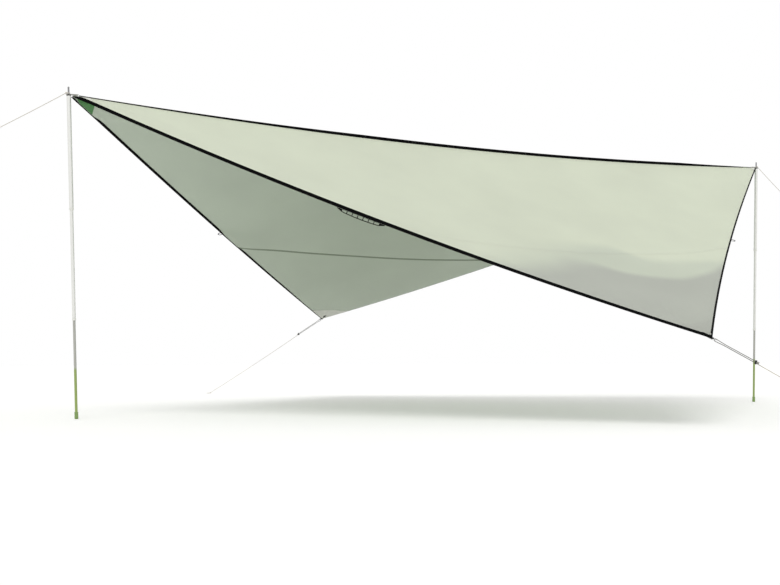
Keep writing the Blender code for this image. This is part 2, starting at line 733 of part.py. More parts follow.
def round_loop(name, major, diameter, matrix):
    """Closed loop of cord."""
    bpy.ops.mesh.primitive_torus_add(major_radius=major, minor_radius=diameter / 2,
                                     major_segments=18, minor_segments=CORD_SIDES)
    made = bpy.context.object
    made.name = name
    return keep_piece(made, matrix)


def knot(name, centre):
    """Knot in a cord, as a round lump."""
    bpy.ops.mesh.primitive_uv_sphere_add(segments=10, ring_count=6, radius=KNOT_RADIUS)
    made = bpy.context.object
    made.name = name
    return keep_piece(made, Matrix.Translation(centre))


def keep_piece(made, matrix):
    """Move a primitive to the tarp's collection and to its place."""
    for holder in list(made.users_collection):
        holder.objects.unlink(made)
    TARP.objects.link(made)
    made.data.materials.append(CORD)
    made.matrix_world = matrix
    return made


def sagging_run(start, finish_point, count):
    """Points of a tight cord between two places, with the little sag it has."""
    sag = (finish_point - start).length * CORD_SAG_SHARE
    shares = [i / count for i in range(count + 1)]
    return [start.lerp(finish_point, t) - UP * sag * 4 * t * (1 - t) for t in shares]


def end_guy(end, slope, length):
    """Guy line at an end of the ridge, from the loop round the pin to the loop at its far end."""
    sign = END_SIGN[end]
    pole = pole_matrix(end)
    loop_height = GROMMET_TOP + FIT_GAP + KNOT_RADIUS
    major = PIN_DIAMETER / 2 + CORD_DIAMETER / 2 + FIT_GAP
    pin_place = pole @ Matrix.Translation((0.0, 0.0, loop_height))
    pin_loop = round_loop(f"{end}_pin_loop", major, CORD_DIAMETER, pin_place)
    first = pole @ Vector((sign * (major + KNOT_RADIUS), 0.0, loop_height))
    pull = Vector((sign * math.cos(slope), 0.0, -math.sin(slope)))
    last = first + pull * length
    run = as_mesh(cord_tube(f"{end}_run", sagging_run(first, last, 8), CORD_DIAMETER / 2, CORD))
    centre = last + pull * (END_LOOP_RADIUS + KNOT_RADIUS)
    side = Vector((0.0, 1.0, 0.0))
    end_place = axes_matrix(pull, side.cross(pull), side, centre)
    end_loop = round_loop(f"{end}_end_loop", END_LOOP_RADIUS, CORD_DIAMETER, end_place)
    knots = [knot(f"{end}_pin_knot", first), knot(f"{end}_end_knot", last)]
    fused(f"{end}_guy", [run, *knots, pin_loop, end_loop])


def guy_axes(side, slope, skew):
    """Direction of a low corner's guy line, and the directions square to it: across and over."""
    level = Vector((-math.sin(skew), SLOPE_SIGN[side] * math.cos(skew), 0.0))
    pull = level * math.cos(slope) - UP * math.sin(slope)
    over = level * math.sin(slope) + UP * math.cos(slope)
    return pull, over.cross(pull).normalized(), over


def corner_guy(side, slope, skew, double):
    """Guy line at a low corner: doubled through the ring up to its slider, then single to the ground."""
    tip, _, outward, _ = corner_axes(side)
    pull, across, over = guy_axes(side, slope, skew)
    off_the_bar = HAIRPIN_RADIUS - CORD_DIAMETER / 2 - RING_WIRE / 2 - HAIRPIN_PLAY
    bend_centre = tip + outward * RING_DEPTH + pull * off_the_bar
    spread = STRAND_SPACING / 2
    under = bend_centre - over * spread
    knot_centre = under + pull * (under.z - KNOT_RADIUS) / math.sin(slope)

    tail = double + SLIDER_THICKNESS / 2 + 2 * CORD_DIAMETER
    upper_strand = share_steps(tail, NARROWING_LENGTH, 3.0, 1.0)
    points = [bend_centre + over * spread + pull * place for place in upper_strand]
    for i in range(9):
        angle = math.pi / 2 + math.pi * i / 8
        turn = pull * math.cos(angle) + over * math.sin(angle)
        points.append(bend_centre + turn * HAIRPIN_RADIUS)
    points += [under + pull * NARROWING_LENGTH, under + pull * double]
    run_start = under + pull * (double + SLIDER_THICKNESS)
    points += sagging_run(run_start, knot_centre - pull * (KNOT_RADIUS + FIT_GAP), 8)
    cord_tube(f"{side}_guy", points, CORD_DIAMETER / 2, CORD)

    ground_loop(side, knot_centre, pull)
    guy_slider(side, axes_matrix(over, -across, pull, bend_centre + pull * double))


def ground_loop(side, knot_centre, pull):
    """Loop that lies on the ground at the end of a low corner's guy line, and the knot that ties it."""
    level = Vector((pull.x, pull.y, 0.0)).normalized()
    loop_centre = knot_centre + level * (KNOT_RADIUS / 2 + GROUND_LOOP_RADIUS)
    loop_centre.z = CORD_DIAMETER / 2
    loop = round_loop(f"{side}_loop", GROUND_LOOP_RADIUS, CORD_DIAMETER, Matrix.Translation(loop_centre))
    fused(f"{side}_ground_loop", [loop, knot(f"{side}_knot", knot_centre)])


def guy_slider(side, matrix):
    """Slider through which both strands of a low corner's guy line pass."""
    half_tall = STRAND_SPACING / 2 + CORD_DIAMETER / 2 + SLIDER_MARGIN
    outline = rounded_outline((-half_tall, -SLIDER_WIDTH / 2), (half_tall, SLIDER_WIDTH / 2), 0.0035)
    bore = CORD_DIAMETER / 2 + SLIDER_HOLE_CLEARANCE
    holes = [circle_outline(bore, (offset * STRAND_SPACING, 0.0), 12) for offset in (-0.5, 0.5)]
    plate(f"{side}_guy_slider", [outline, *holes], SLIDER_THICKNESS, DARK_PLASTIC, matrix)


def canopy():
    """The cloth with everything sewn to it."""
    seam = SEAM_DISTANCE / HALF
    gap = SEAM_GAP / 2 / HALF
    ridge_gap = RIDGE_GAP / HALF
    last = 1.0 - CORNER_CUT / HALF
    for side in ("front", "back"):
        cloth_panel(side, f"{side}_upper_cloth", ridge_gap, seam - gap, UPPER_CLOTH_COLUMNS)
        cloth_panel(side, f"{side}_lower_cloth", seam + gap, last, LOWER_CLOTH_COLUMNS)
        seam_tape(side)
        corner_patch(side)
        corner_tab(side)
        corner_ring(side)
        for end in ("left", "right"):
            edge_binding(side, end)
    ridge_tape()
    loop_strap()
    for end in ("left", "right"):
        ridge_end_patch(end)
        eyelet_tab(end)
        grommet(end)
        edge_loop("back", end)
    edge_loop("front", "right")


def pole(end, cutter):
    """One telescopic pole of three tubes."""
    pole_tube(end, "upper", UPPER_TUBE_DIAMETER, UPPER_JOINT, UPPER_TUBE_TOP)
    pole_tube(end, "middle", MIDDLE_TUBE_DIAMETER, LOWER_JOINT, UPPER_JOINT + TUBE_OVERLAP)
    pole_tube(end, "lower", LOWER_TUBE_DIAMETER, FOOT_SOLE + FIT_GAP, LOWER_JOINT + TUBE_OVERLAP)
    pole_top(end)
    end_ring(end, "upper", UPPER_TUBE_DIAMETER, MIDDLE_TUBE_DIAMETER, UPPER_JOINT)
    end_ring(end, "middle", MIDDLE_TUBE_DIAMETER, LOWER_TUBE_DIAMETER, LOWER_JOINT)
    twist_lock(end, "middle", UPPER_TUBE_DIAMETER, MIDDLE_TUBE_DIAMETER, UPPER_JOINT + TUBE_OVERLAP)
    twist_lock(end, "lower", MIDDLE_TUBE_DIAMETER, LOWER_TUBE_DIAMETER, LOWER_JOINT + TUBE_OVERLAP)
    pole_foot(end, cutter)


def main():
    """Build the whole tarp."""
    canopy()
    cutter = ground_cutter()
    for end in ("left", "right"):
        pole(end, cutter)
    end_guy("left", LEFT_GUY_SLOPE, LEFT_GUY_LENGTH)
    end_guy("right", RIGHT_GUY_SLOPE, RIGHT_GUY_LENGTH)
    corner_guy("front", FRONT_GUY_SLOPE, 0.0, FRONT_DOUBLE_LENGTH)
    corner_guy("back", BACK_GUY_SLOPE, BACK_GUY_SKEW, BACK_DOUBLE_LENGTH)


main()
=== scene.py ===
"""Camping tarp on two telescopic poles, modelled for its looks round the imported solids."""
import math

import bmesh
import bpy
from mathutils import Matrix, Vector, noise


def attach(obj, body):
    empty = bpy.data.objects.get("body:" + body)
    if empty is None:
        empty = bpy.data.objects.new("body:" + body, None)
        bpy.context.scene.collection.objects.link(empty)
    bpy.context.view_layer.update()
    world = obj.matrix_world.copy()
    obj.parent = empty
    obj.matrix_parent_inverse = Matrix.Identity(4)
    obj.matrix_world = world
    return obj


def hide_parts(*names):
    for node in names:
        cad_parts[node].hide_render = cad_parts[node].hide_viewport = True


bl_info = {
    "name": "Camping Tarp",
    "version": (1, 0, 0),
    "blender": (4, 5, 0),
    "location": "View3D > Sidebar > Tarp",
    "description": "Builds a square camping tarp pitched over two telescopic poles",
    "category": "Add Mesh",
}

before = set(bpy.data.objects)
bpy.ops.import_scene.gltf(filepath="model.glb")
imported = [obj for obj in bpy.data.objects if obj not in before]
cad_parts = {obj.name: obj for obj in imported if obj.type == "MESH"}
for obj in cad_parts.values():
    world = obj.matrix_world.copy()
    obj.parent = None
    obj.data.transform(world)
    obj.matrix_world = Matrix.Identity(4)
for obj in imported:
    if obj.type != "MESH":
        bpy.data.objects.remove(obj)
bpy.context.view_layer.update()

UP = Vector((0.0, 0.0, 1.0))
LEVEL = Vector((0.0, 1.0, 0.0))
SIDES = ("front", "back")
ENDS = ("left", "right")
SLOPE_SIGN = {"front": -1.0, "back": 1.0}
END_SIGN = {"left": -1.0, "right": 1.0}

# The pitch, as the solids have it.
SIDE = 4.0
HALF = SIDE / math.sqrt(2.0)
RIDGE_Y = -0.06934402700562359
EYELET_HEIGHT = 1.95
CORNER_HEIGHT = {"front": 0.467, "back": 0.718}
SLOPE_REACH = {s: math.sqrt(HALF ** 2 - (EYELET_HEIGHT - h) ** 2) for s, h in CORNER_HEIGHT.items()}
RIDGE_SAG = 0.092
EDGE_SAG = {"front": 0.086, "back": 0.072}
EDGE_BOW = {"front": 0.062, "back": 0.040}
BELLY = {"front": 0.030, "back": -0.005}
SEAM_DISTANCE = 1.54
RIDGE_END_CUT = 0.062
RIDGE_SEAM_HEIGHT = 0.021
RIDGE_SEAM_LOW = 0.0045
RIDGE_SEAM_TAPER = {"left": 1.90, "right": 0.80}
LOOP_SHARE = 0.483
POLE_LEAN = 0.077
POLE_LENGTH = math.hypot(EYELET_HEIGHT, POLE_LEAN)
UPPER_JOINT = 1.265
LOWER_JOINT = 0.602
POINT_RADIUS = 0.0000001  # a ring this small is merged to one point

# The hardware, as the solids have it.
FIT_GAP = 0.0003
EYELET_TAB = (0.0725, 0.034, 0.0024)
EYELET_TAB_MIDDLE = 0.02175
GROMMET_FLANGE = 0.0008
GROMMET_TOP = EYELET_TAB[2] / 2 + FIT_GAP + GROMMET_FLANGE
CORNER_TAB_LENGTH = 0.085
CORNER_TAB_RISE = 0.0032
RING_SIZE = (0.036, 0.022, 1.0)
RING_WIRE_RADIUS = 0.0015
CAP_TOP = POLE_LENGTH - GROMMET_TOP - FIT_GAP
CAP_FLANGE = 0.006
CAP_DEPTH = 0.032
TUBE_OVERLAP = 0.100
SPIKE_RADIUS = 0.0055
SPIKE_LENGTH = 0.048
KNOT_RADIUS = 0.0060
STRAND_WIDTH = 0.0011
TURNED_SIDES = 48
WEBBING_THICKNESS = 0.0012
CORNER_TAB_HALF = 0.010
LOOP_HALF = 0.003
LOOP_THICKNESS = 0.0014

# The guy lines, as the solids have them.
END_LOOP_RADIUS = 0.018
GROUND_LOOP_RADIUS = 0.022
RIDGE_GUYS = {"left": (33.0, 0.47), "right": (36.0, 0.33)}  # slope in degrees, and length between the knots
CORNER_GUYS = {"front": (0.0, 0.30), "back": (17.0, 0.33)}  # turn in degrees, and length of the doubled part
CORNER_GUY_SLOPE = 22.5
HAIRPIN_RADIUS = 0.0070
STRAND_OFFSET = 0.0040

# The camera that was fitted to the photograph: its place, and its rise and turn in degrees.
CAMERA_PLACE = (-4.252, -6.914, 0.370)
CAMERA_RISE = 3.27
CAMERA_TURN = -27.84

# How the cloth is laid and hemmed.
CLOTH_END_CUT = 0.026
PATCH_THICKNESS = 0.0007
# Where sewn pieces start and stop, as distances from the ridge's end or from the low corner.
END_PATCH = (0.054, 0.17)
END_FACING = (0.030, 0.125)
CORNER_PATCH = (0.22, 0.016)
BINDING_START = 0.024
BINDING_STOP = 0.007
RIDGE_GAP = 0.0008
EYELET_DIP = 0.0026
HEM_WIDTH = 0.022
HEM_FADE = 0.25
HEM_REACHES = (0.0012, 0.006, 0.011, 0.0165, 0.022, 0.028, 0.038, 0.052, 0.070, 0.092, 0.118, 0.150, 0.190,
               0.235, 0.285)
# Each hem hangs out of the cloth's surface by an angle that changes along the edge:
# pairs of a share of the edge, from the ridge, and degrees, where turned down is positive.
HEM_TURNS = {
    ("front", "left"): ((0.0, 38.0), (0.5, 45.0), (0.75, 36.0), (1.0, 30.0)),
    ("front", "right"): ((0.0, 64.0), (0.5, 60.0), (1.0, 58.0)),
    ("back", "left"): ((0.0, -40.0), (0.050, -40.0), (0.075, 0.0), (0.45, 0.0), (0.49, -36.0), (0.535, -36.0),
                       (0.56, -8.0), (0.75, -16.0), (0.90, -32.0), (1.0, -40.0)),
    ("back", "right"): ((0.0, -20.0), (1.0, -20.0)),
}

# Where the painted shade low on the front slope starts, in two greyer steps: distance along the ridge and down the
# slope.
PAINTED_SHADE_FROM = 1.2
FIRST_PAINTED_SHADE = ((-1.0, 1.92), (-0.35, 1.61), (-0.02, 1.455), (0.29, 1.43), (0.53, 1.64), (0.80, 1.68),
              (1.2, 1.92))
SECOND_PAINTED_SHADE = ((-1.0, 2.05), (-0.35, 1.80), (-0.09, 1.70), (0.20, 1.84), (0.415, 1.92), (0.58, 1.95),
               (0.90, 1.87))

# The strap of loops, as the solid has it.
STRAP_LENGTH = 0.31
STRAP_LOOPS = 7
STRAP_PITCH = 0.034
STRAP_START = 0.0036
STRAP_TOP_BAND = 0.0026
STRAP_LOW_BAND = 0.005
STRAP_BAR = 0.0045
STRAP_DROP = 0.017
STRAP_FULLNESS = 0.38
STRAP_SHARE = 0.97
STRAP_END_DEPTH = 0.0016


def srgb(code):
    """Linear colour of an sRGB hex code."""
    parts = [int(code[i:i + 2], 16) / 255.0 for i in (1, 3, 5)]
    return tuple(p / 12.92 if p <= 0.04045 else ((p + 0.055) / 1.055) ** 2.4 for p in parts)


def size(name, description, default):
    """A length that a user can change."""
    return bpy.props.FloatProperty(name=name, description=description, default=default, unit="LENGTH",
                                   precision=4)


def colour(name, description, code):
    """A colour that a user can change."""
    return bpy.props.FloatVectorProperty(name=name, description=description, default=srgb(code), subtype="COLOR",
                                         size=3, min=0.0, max=1.0)


class TarpClothSettings(bpy.types.PropertyGroup):
    """Sizes and colours of the cloth and what is sewn to it."""
    cloth_thickness: size("Cloth thickness", "Thickness of the coated cloth", 0.0009)
    fold_height: size("Corner fold height", "Height of the tension folds at the corners", 0.0030)
    billow_height: size("Billow height", "Height of the slow waves in the cloth", 0.0050)
    binding_width: size("Binding width", "Width of the tape over an edge, on each face", 0.0218)
    seam_width: size("Seam tape width", "Width of the tape under the seam", 0.022)
    tape_thickness: size("Tape thickness", "Thickness of the woven tape", 0.0009)
    outside: colour("Cloth", "Outer face of the cloth", "#E7ECD8")
    # The two greyer colours below are painted shade low on the front slope.
    light_painted_shade: colour("Middling cloth", "First, lighter step of the greyer part of the front slope", "#D9DFCE")
    lower: colour("Lower cloth", "Greyer lower part of the front slope", "#C3C6BC")
    # The cloth's inner face is a darker copy of its outer one: painted shade under the cloth.
    inside: colour("Cloth lining", "Coated inner face of the cloth", "#C7D0C4")
    tape: colour("Tape", "Edge and ridge tape", "#060607")
    seam: colour("Seam tape", "Tape under the seam", "#8A9484")
    patch: colour("End patch", "Doubling cloth under the ridge's ends", "#4C8A4A")


class TarpPoleSettings(bpy.types.PropertyGroup):
    """Sizes and colours of the poles."""
    upper_diameter: size("Upper tube", "Outer diameter of the upper tube", 0.026)
    middle_diameter: size("Middle tube", "Outer diameter of the middle tube", 0.021)
    lower_diameter: size("Lower tube", "Outer diameter of the lower tube", 0.016)
    wall: size("Tube wall", "Wall of each tube", 0.0012)
    metal: colour("Tubes", "Drawn aluminium", "#F0F0EC")
    bare: colour("Lower tube", "Bare part of the lower tube", "#B9B9B2")
    # The green of the poles' lower ends and feet is a painted reflection of grass.
    enamel: colour("Lower end", "Green finish of the poles' lower ends", "#9BB163")


class TarpGuySettings(bpy.types.PropertyGroup):
    """Sizes and colours of the guy lines."""
    cord: size("Guy line", "Diameter of the cords", 0.0040)
    pale: colour("Pale cord", "Braid of the guy lines", "#DAD3C6")
    # This grey is painted shade on the doubled part of the corner guy lines.
    painted_shade_grey: colour("Grey cord", "Doubled part of the corner guy lines", "#7F7F79")


class TarpStageSettings(bpy.types.PropertyGroup):
    """The floor, the lamps and the camera."""
    floor: colour("Floor", "Pale floor", "#F7F7F5")
    glow: bpy.props.FloatProperty(name="Floor glow", description="What the floor adds to be white", default=0.165)
    world_light: bpy.props.FloatProperty(name="Sky light", description="Strength of the even light", default=0.645)
    key_power: bpy.props.FloatProperty(name="Key lamp", description="Strength of the main lamp", default=1.19)
    lens: bpy.props.FloatProperty(name="Lens", description="Focal length", default=52.02, unit="CAMERA")


# Handling of objects and meshes.


def deselect():
    """Leave edit mode and select nothing."""
    if bpy.context.object and bpy.context.object.mode != "OBJECT":
        bpy.ops.object.mode_set(mode="OBJECT")
    bpy.ops.object.select_all(action="DESELECT")


def activate(obj):
    """Make one object the active and only selected one."""
    deselect()
    obj.select_set(True)
    bpy.context.view_layer.objects.active = obj


def modify(obj, kind, **settings):
    """Add a modifier with its settings and apply it."""
    modifier = obj.modifiers.new(kind.lower(), kind)
    for key, value in settings.items():
        setattr(modifier, key, value)
    activate(obj)
    bpy.ops.object.modifier_apply(modifier=modifier.name)


def recalculate(obj):
    """Merge doubles and point all faces outwards."""
    activate(obj)
    bpy.ops.object.mode_set(mode="EDIT")
    bpy.ops.mesh.select_all(action="SELECT")
    bpy.ops.mesh.remove_doubles(threshold=0.000005)
    bpy.ops.mesh.normals_make_consistent(inside=False)
    bpy.ops.object.mode_set(mode="OBJECT")


def settle(obj, matrix):
    """Put an object's place into its mesh, so that the object itself sits at the origin."""
    obj.data.transform(matrix @ obj.matrix_world)
    obj.matrix_world = Matrix.Identity(4)
    obj.data.update()


def lay_uv(obj):
    """UV places of a flat piece: its own X and Y."""
    if not obj.data.uv_layers:
        obj.data.uv_layers.new(name="UVMap")
    for loop in obj.data.loops:
        obj.data.uv_layers[0].data[loop.index].uv = obj.data.vertices[loop.vertex_index].co.xy


def dress(obj, name, material, replaced="", body="canopy", smooth=40.0):
    """Name a piece, give it its material and shading, and let it ride on its body."""
    obj.name = name
    obj.data.name = name
    obj.data.materials.clear()
    obj.data.materials.append(material)
    activate(obj)
    bpy.ops.object.shade_smooth_by_angle(angle=math.radians(smooth))
    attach(obj, body)
    if replaced:
        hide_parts(*replaced.split())
    return obj


def block(extent, location=(0.0, 0.0, 0.0)):
    """A block of a size at a place."""
    deselect()
    bpy.ops.mesh.primitive_cube_add(size=1.0, location=location)
    bpy.context.object.scale = extent
    bpy.ops.object.transform_apply(location=True, scale=True)
    return bpy.context.object


def drill(obj, sides, radius, depth, x=0.0):
    """Bore a hole along Z."""
    deselect()
    bpy.ops.mesh.primitive_cylinder_add(vertices=sides, radius=radius, depth=depth, location=(x, 0.0, 0.0))
    bit = bpy.context.object
    modify(obj, "BOOLEAN", object=bit)
    bpy.data.objects.remove(bit)


def grid_sheet(across, along, place, thickness):
    """A sheet: a grid whose points and UV places are given by a rule, then its thickness."""
    deselect()
    bpy.ops.mesh.primitive_grid_add(x_subdivisions=len(across) - 1, y_subdivisions=len(along) - 1, size=2.0)
    obj = bpy.context.object
    places = {}
    for vert in obj.data.vertices:
        column = round((vert.co.x + 1.0) / 2.0 * (len(across) - 1))
        row = round((vert.co.y + 1.0) / 2.0 * (len(along) - 1))
        vert.co, places[vert.index] = place(across[column], along[row])
    layer = obj.data.uv_layers[0].data
    for loop in obj.data.loops:
        layer[loop.index].uv = places[loop.vertex_index]
    obj.data.update()
    modify(obj, "SOLIDIFY", thickness=thickness, offset=0.0, use_even_offset=True)
    return obj


def turned(profile, matrix, sides):
    """A turned piece: a circle drawn on ring by ring along (radius, height) points, first ring again last."""
    deselect()
    profile = [(max(r, POINT_RADIUS), z) for r, z in profile]
    radius, height = profile[0]
    bpy.ops.mesh.primitive_circle_add(vertices=sides, radius=radius, location=(0.0, 0.0, height))
    obj = bpy.context.object
    bpy.ops.object.transform_apply(location=True)
    bpy.ops.object.mode_set(mode="EDIT")
    bpy.ops.mesh.select_all(action="SELECT")
    for next_radius, next_height in profile[1:]:
        bpy.ops.mesh.extrude_region_move()
        share = next_radius / radius
        bpy.ops.transform.resize(value=(share, share, 1.0), center_override=(0.0, 0.0, height))
        bpy.ops.transform.translate(value=(0.0, 0.0, next_height - height))
        radius, height = next_radius, next_height
    bpy.ops.object.mode_set(mode="OBJECT")
    settle(obj, matrix)
    recalculate(obj)
    return obj


def spaced(first, last, steps):
    """Values in even steps, with both ends."""
    return [first + (last - first) * i / steps for i in range(steps + 1)]


def travelled(points):
    """Length of a line of points up to each of them."""
    lengths = [0.0]
    for a, b in zip(points, points[1:]):
        lengths.append(lengths[-1] + math.dist(a, b))
    return lengths


def arc(centre, along, beside, radius, start, stop, steps=16):
    """Points on an arc between two angles in degrees."""
    turns = [math.radians(angle) for angle in spaced(start, stop, steps)]
    return [centre + along * (radius * math.cos(a)) + beside * (radius * math.sin(a)) for a in turns]


def tube_along(points, diameter, closed=False):
    """A round cord along points, with its UV places in metres: along it, and round it."""
    count, sides = len(points), 10
    shape = bmesh.new()
    layer = shape.loops.layers.uv.new("UVMap")
    rings, side = [], None
    for i, point in enumerate(points):
        before = points[i - 1] if i > 0 or closed else point
        after = points[(i + 1) % count] if i < count - 1 or closed else point
        tangent = (after - before).normalized()
        side = tangent.orthogonal() if side is None else side
        side = (side - tangent * side.dot(tangent)).normalized()
        other = tangent.cross(side)
        turns = [2.0 * math.pi * k / sides for k in range(sides)]
        ring = [point + (side * math.cos(a) + other * math.sin(a)) * diameter / 2.0 for a in turns]
        rings.append([shape.verts.new(p) for p in ring])
    lengths = travelled(points + points[:1])
    for i in range(count if closed else count - 1):
        ring, following = rings[i], rings[(i + 1) % count]
        for k in range(sides):
            m = (k + 1) % sides
            face = shape.faces.new((ring[k], ring[m], following[m], following[k]))
            places = ((i, k), (i, k + 1), (i + 1, k + 1), (i + 1, k))
            for loop, (row, turn) in zip(face.loops, places):
                loop[layer].uv = (lengths[row], turn / sides * math.pi * diameter)
    if not closed:
        shape.faces.new(rings[0][::-1])
        shape.faces.new(rings[-1])
    bmesh.ops.recalc_face_normals(shape, faces=shape.faces)
    mesh = bpy.data.meshes.new("tube")
    shape.to_mesh(mesh)
    shape.free()
    obj = bpy.data.objects.new("tube", mesh)
    bpy.context.scene.collection.objects.link(obj)
    return obj


def smooth_line(points, step):
    """Points about a step apart on a smooth curve through the given ones."""
    padded = [points[0] * 2 - points[1]] + list(points) + [points[-1] * 2 - points[-2]]
    line = []
    for i in range(1, len(padded) - 2):
        a, b, c, d = padded[i - 1:i + 3]
        count = max(1, round((c - b).length / step))
        for k in range(count):
            t = k / count
            line.append(0.5 * (2 * b + (c - a) * t + (2 * a - 5 * b + 4 * c - d) * t ** 2
                               + (3 * b - a - 3 * c + d) * t ** 3))
    return line + [points[-1].copy()]


def axes_matrix(x_axis, y_axis, z_axis, origin):
    """Matrix that puts a piece's own axes along the given ones."""
    return Matrix.Translation(origin) @ Matrix((x_axis, y_axis, z_axis)).transposed().to_4x4()


def sagging_run(start, finish, count):
    """Points of a tight cord between two places, with the little sag it has."""
    sag = (finish - start).length * 0.004
    return [start.lerp(finish, t) - UP * sag * 4 * t * (1 - t) for t in spaced(0.0, 1.0, count)]


def knot_lump(centre, axis, diameter, radius, material, name):
    """A tied overhand knot, as a loop of cord passed through itself."""
    side = axis.orthogonal().normalized()
    other = axis.cross(side)
    scale = (radius - diameter / 2) / 3.0
    points = []
    for t in spaced(0.0, 2.0 * math.pi, 72)[:-1]:
        x = (math.sin(t) + 2.0 * math.sin(2.0 * t)) * scale
        y = (math.cos(t) - 2.0 * math.cos(2.0 * t)) * scale
        z = -math.sin(3.0 * t) * diameter * 0.55
        points.append(centre + side * x + other * y + axis * z)
    return dress(tube_along(points, diameter, closed=True), name, material, smooth=80.0)


# The cloth's surface.


def smoothstep(low, high, value):
    """0 below low, 1 above high, and a soft rise between them."""
    t = min(1.0, max(0.0, (value - low) / (high - low)))
    return t * t * (3.0 - 2.0 * t)


def edge_point(side, end, down):
    """Point on an edge of the cloth: down is 0 at the ridge's end, 1 at the low corner."""
    start = Vector((END_SIGN[end] * HALF, RIDGE_Y, EYELET_HEIGHT))
    other = Vector((-END_SIGN[end] * HALF, RIDGE_Y, EYELET_HEIGHT))
    corner = Vector((0.0, RIDGE_Y + SLOPE_SIGN[side] * SLOPE_REACH[side], CORNER_HEIGHT[side]))
    inward = (other - corner).normalized()
    bow = 4.0 * down * (1.0 - down)
    return start.lerp(corner, down) + inward * EDGE_BOW[side] * bow - UP * EDGE_SAG[side] * bow


def cloth_point(side, across, down):
    """Point on the plain pitched surface: across runs 0 to 1 from the left edge to the right."""
    left = edge_point(side, "left", down)
    right = edge_point(side, "right", down)
    sag = RIDGE_SAG * (1.0 - down) + BELLY[side] * 4.0 * down * (1.0 - down)
    point = left.lerp(right, across)
    point.z -= sag * 4.0 * across * (1.0 - across)
    return point


def cloth_normal(side, across, down):
    """Upward unit normal of the plain pitched surface."""
    step = 0.001
    low_across, high_across = max(0.0, across - step), min(1.0, across + step)
    low_down, high_down = max(0.0, down - step), min(1.0 - step, down + step)
    along = cloth_point(side, high_across, down) - cloth_point(side, low_across, down)
    fall = cloth_point(side, across, high_down) - cloth_point(side, across, low_down)
    normal = along.cross(fall).normalized()
    return normal if normal.z > 0 else -normal


def flat_place(across, down):
    """Place on the flat cut: metres along the ridge from its middle, and metres down the slope."""
    fall = down * HALF
    return (across - 0.5) * 2.0 * (HALF - fall), fall


def across_at(along, down):
    """Share of a row at a distance along the ridge from its middle."""
    return 0.5 + along / (2.0 * HALF * (1.0 - down))


def hem_turn(side, end, down):
    """Angle by which a hem hangs out of the cloth's surface, eased to nothing at the corners."""
    places = HEM_TURNS[side, end]
    angle = places[-1][1]
    for (start, before), (finish, after) in zip(places, places[1:]):
        if start <= down < finish:
            angle = before + (after - before) * smoothstep(start, finish, down)
    from_ridge, from_corner = down * SIDE, (1.0 - down) * SIDE
    return math.radians(angle) * smoothstep(0.0, 0.07, from_ridge) * smoothstep(0.012, 0.060, from_corner)


def ripple(side, across, down, settings):
    """Height of folds and waves over the plain surface, and of the dip under the eyelets' webbing."""
    along, fall = flat_place(across, down)
    edge = (HALF - fall - abs(along)) / math.sqrt(2.0)
    free = smoothstep(0.02, 0.10, edge)
    ridge_free = smoothstep(0.0, 0.12, fall)
    seed = 3.0 if side == "front" else 11.0
    slow = noise.noise(Vector((along * 1.1, fall * 1.3, seed)))
    slow += 0.5 * noise.noise(Vector((along * 2.3, fall * 2.9, seed + 5.0)))
    height = settings.billow_height * slow * free * ridge_free
    for index, corner in enumerate(((-HALF, 0.0), (HALF, 0.0), (0.0, HALF))):
        reach = math.hypot(along - corner[0], fall - corner[1])
        turn = math.atan2(fall - corner[1], along - corner[0])
        fade = math.exp(-reach / 0.34) * smoothstep(0.12, 0.32, reach)
        wave = math.cos(turn * 15.0 + seed + index * 1.7) + 0.5 * math.cos(turn * 25.0 + index)
        height += settings.fold_height * fade * wave * smoothstep(0.01, 0.05, edge) * ridge_free
        if corner[1] == 0.0:
            height -= EYELET_DIP * (1.0 - smoothstep(0.06, 0.18, reach))
    return height


def over_cloth(side, across, down, rise, settings):
    """Point at a height over the cloth with its waves and hems, or under it where rise is negative."""
    whole = row_width(side, down) / math.sqrt(2.0)
    end = "left" if across <= 0.5 else "right"
    reach = whole * (across if end == "left" else 1.0 - across)
    turn = hem_turn(side, end, down)
    if reach <= HEM_WIDTH:
        inset = reach * math.cos(turn) - rise * math.sin(turn)
        lift = reach * math.sin(turn) + rise * math.cos(turn)
    else:
        flat_from = max(HEM_WIDTH + 0.001, min(HEM_WIDTH + HEM_FADE, whole / 2))
        left_over = 1.0 - smoothstep(HEM_WIDTH, flat_from, reach)
        inset = reach - HEM_WIDTH * (1.0 - math.cos(turn)) * left_over
        lift = HEM_WIDTH * math.sin(turn) * left_over + rise
    share = inset / whole if end == "left" else 1.0 - inset / whole
    lift += ripple(side, across, down, settings)
    return cloth_point(side, share, down) + cloth_normal(side, min(0.999, max(0.001, share)), down) * lift


def row_width(side, down):
    """Length of the straight line across the cloth, level with the ridge."""
    return (edge_point(side, "right", down) - edge_point(side, "left", down)).length


def inset_share(side, down, inset):
    """Share of a row that a distance square to the edge takes up."""
    return inset * math.sqrt(2.0) / row_width(side, down)


def between_hems(side, down, share, inset):
    """Place across a row at a share of what lies between two insets."""
    first = min(0.42, inset_share(side, down, inset))
    return first + (1.0 - 2.0 * first) * share


def ridge_fold(x, rise, settings):
    """Point over the ridge line on a sheet folded along it, or under it where rise is negative."""
    across = (x + HALF) / (2 * HALF)
    tilt = (cloth_normal("front", across, 0.0).z + cloth_normal("back", across, 0.0).z) / 2
    lift = (rise + ripple("front", across, 0.0, settings)) / tilt
    return cloth_point("front", across, 0.0) + UP * lift


def ridge_seam_height(across):
    """Height of the standing ridge seam, which runs low towards the ridge's ends."""
    from_left = 2 * HALF * across - RIDGE_END_CUT
    from_right = 2 * HALF * (1.0 - across) - RIDGE_END_CUT
    share = min(1.0, from_left / RIDGE_SEAM_TAPER["left"], from_right / RIDGE_SEAM_TAPER["right"])
    return RIDGE_SEAM_LOW + (RIDGE_SEAM_HEIGHT - RIDGE_SEAM_LOW) * share


def ridge_lean(across):
    """How far the top of the standing ridge seam wanders sideways."""
    return 0.0022 * noise.noise(Vector((across * 11.0, 4.0, 0.0)))


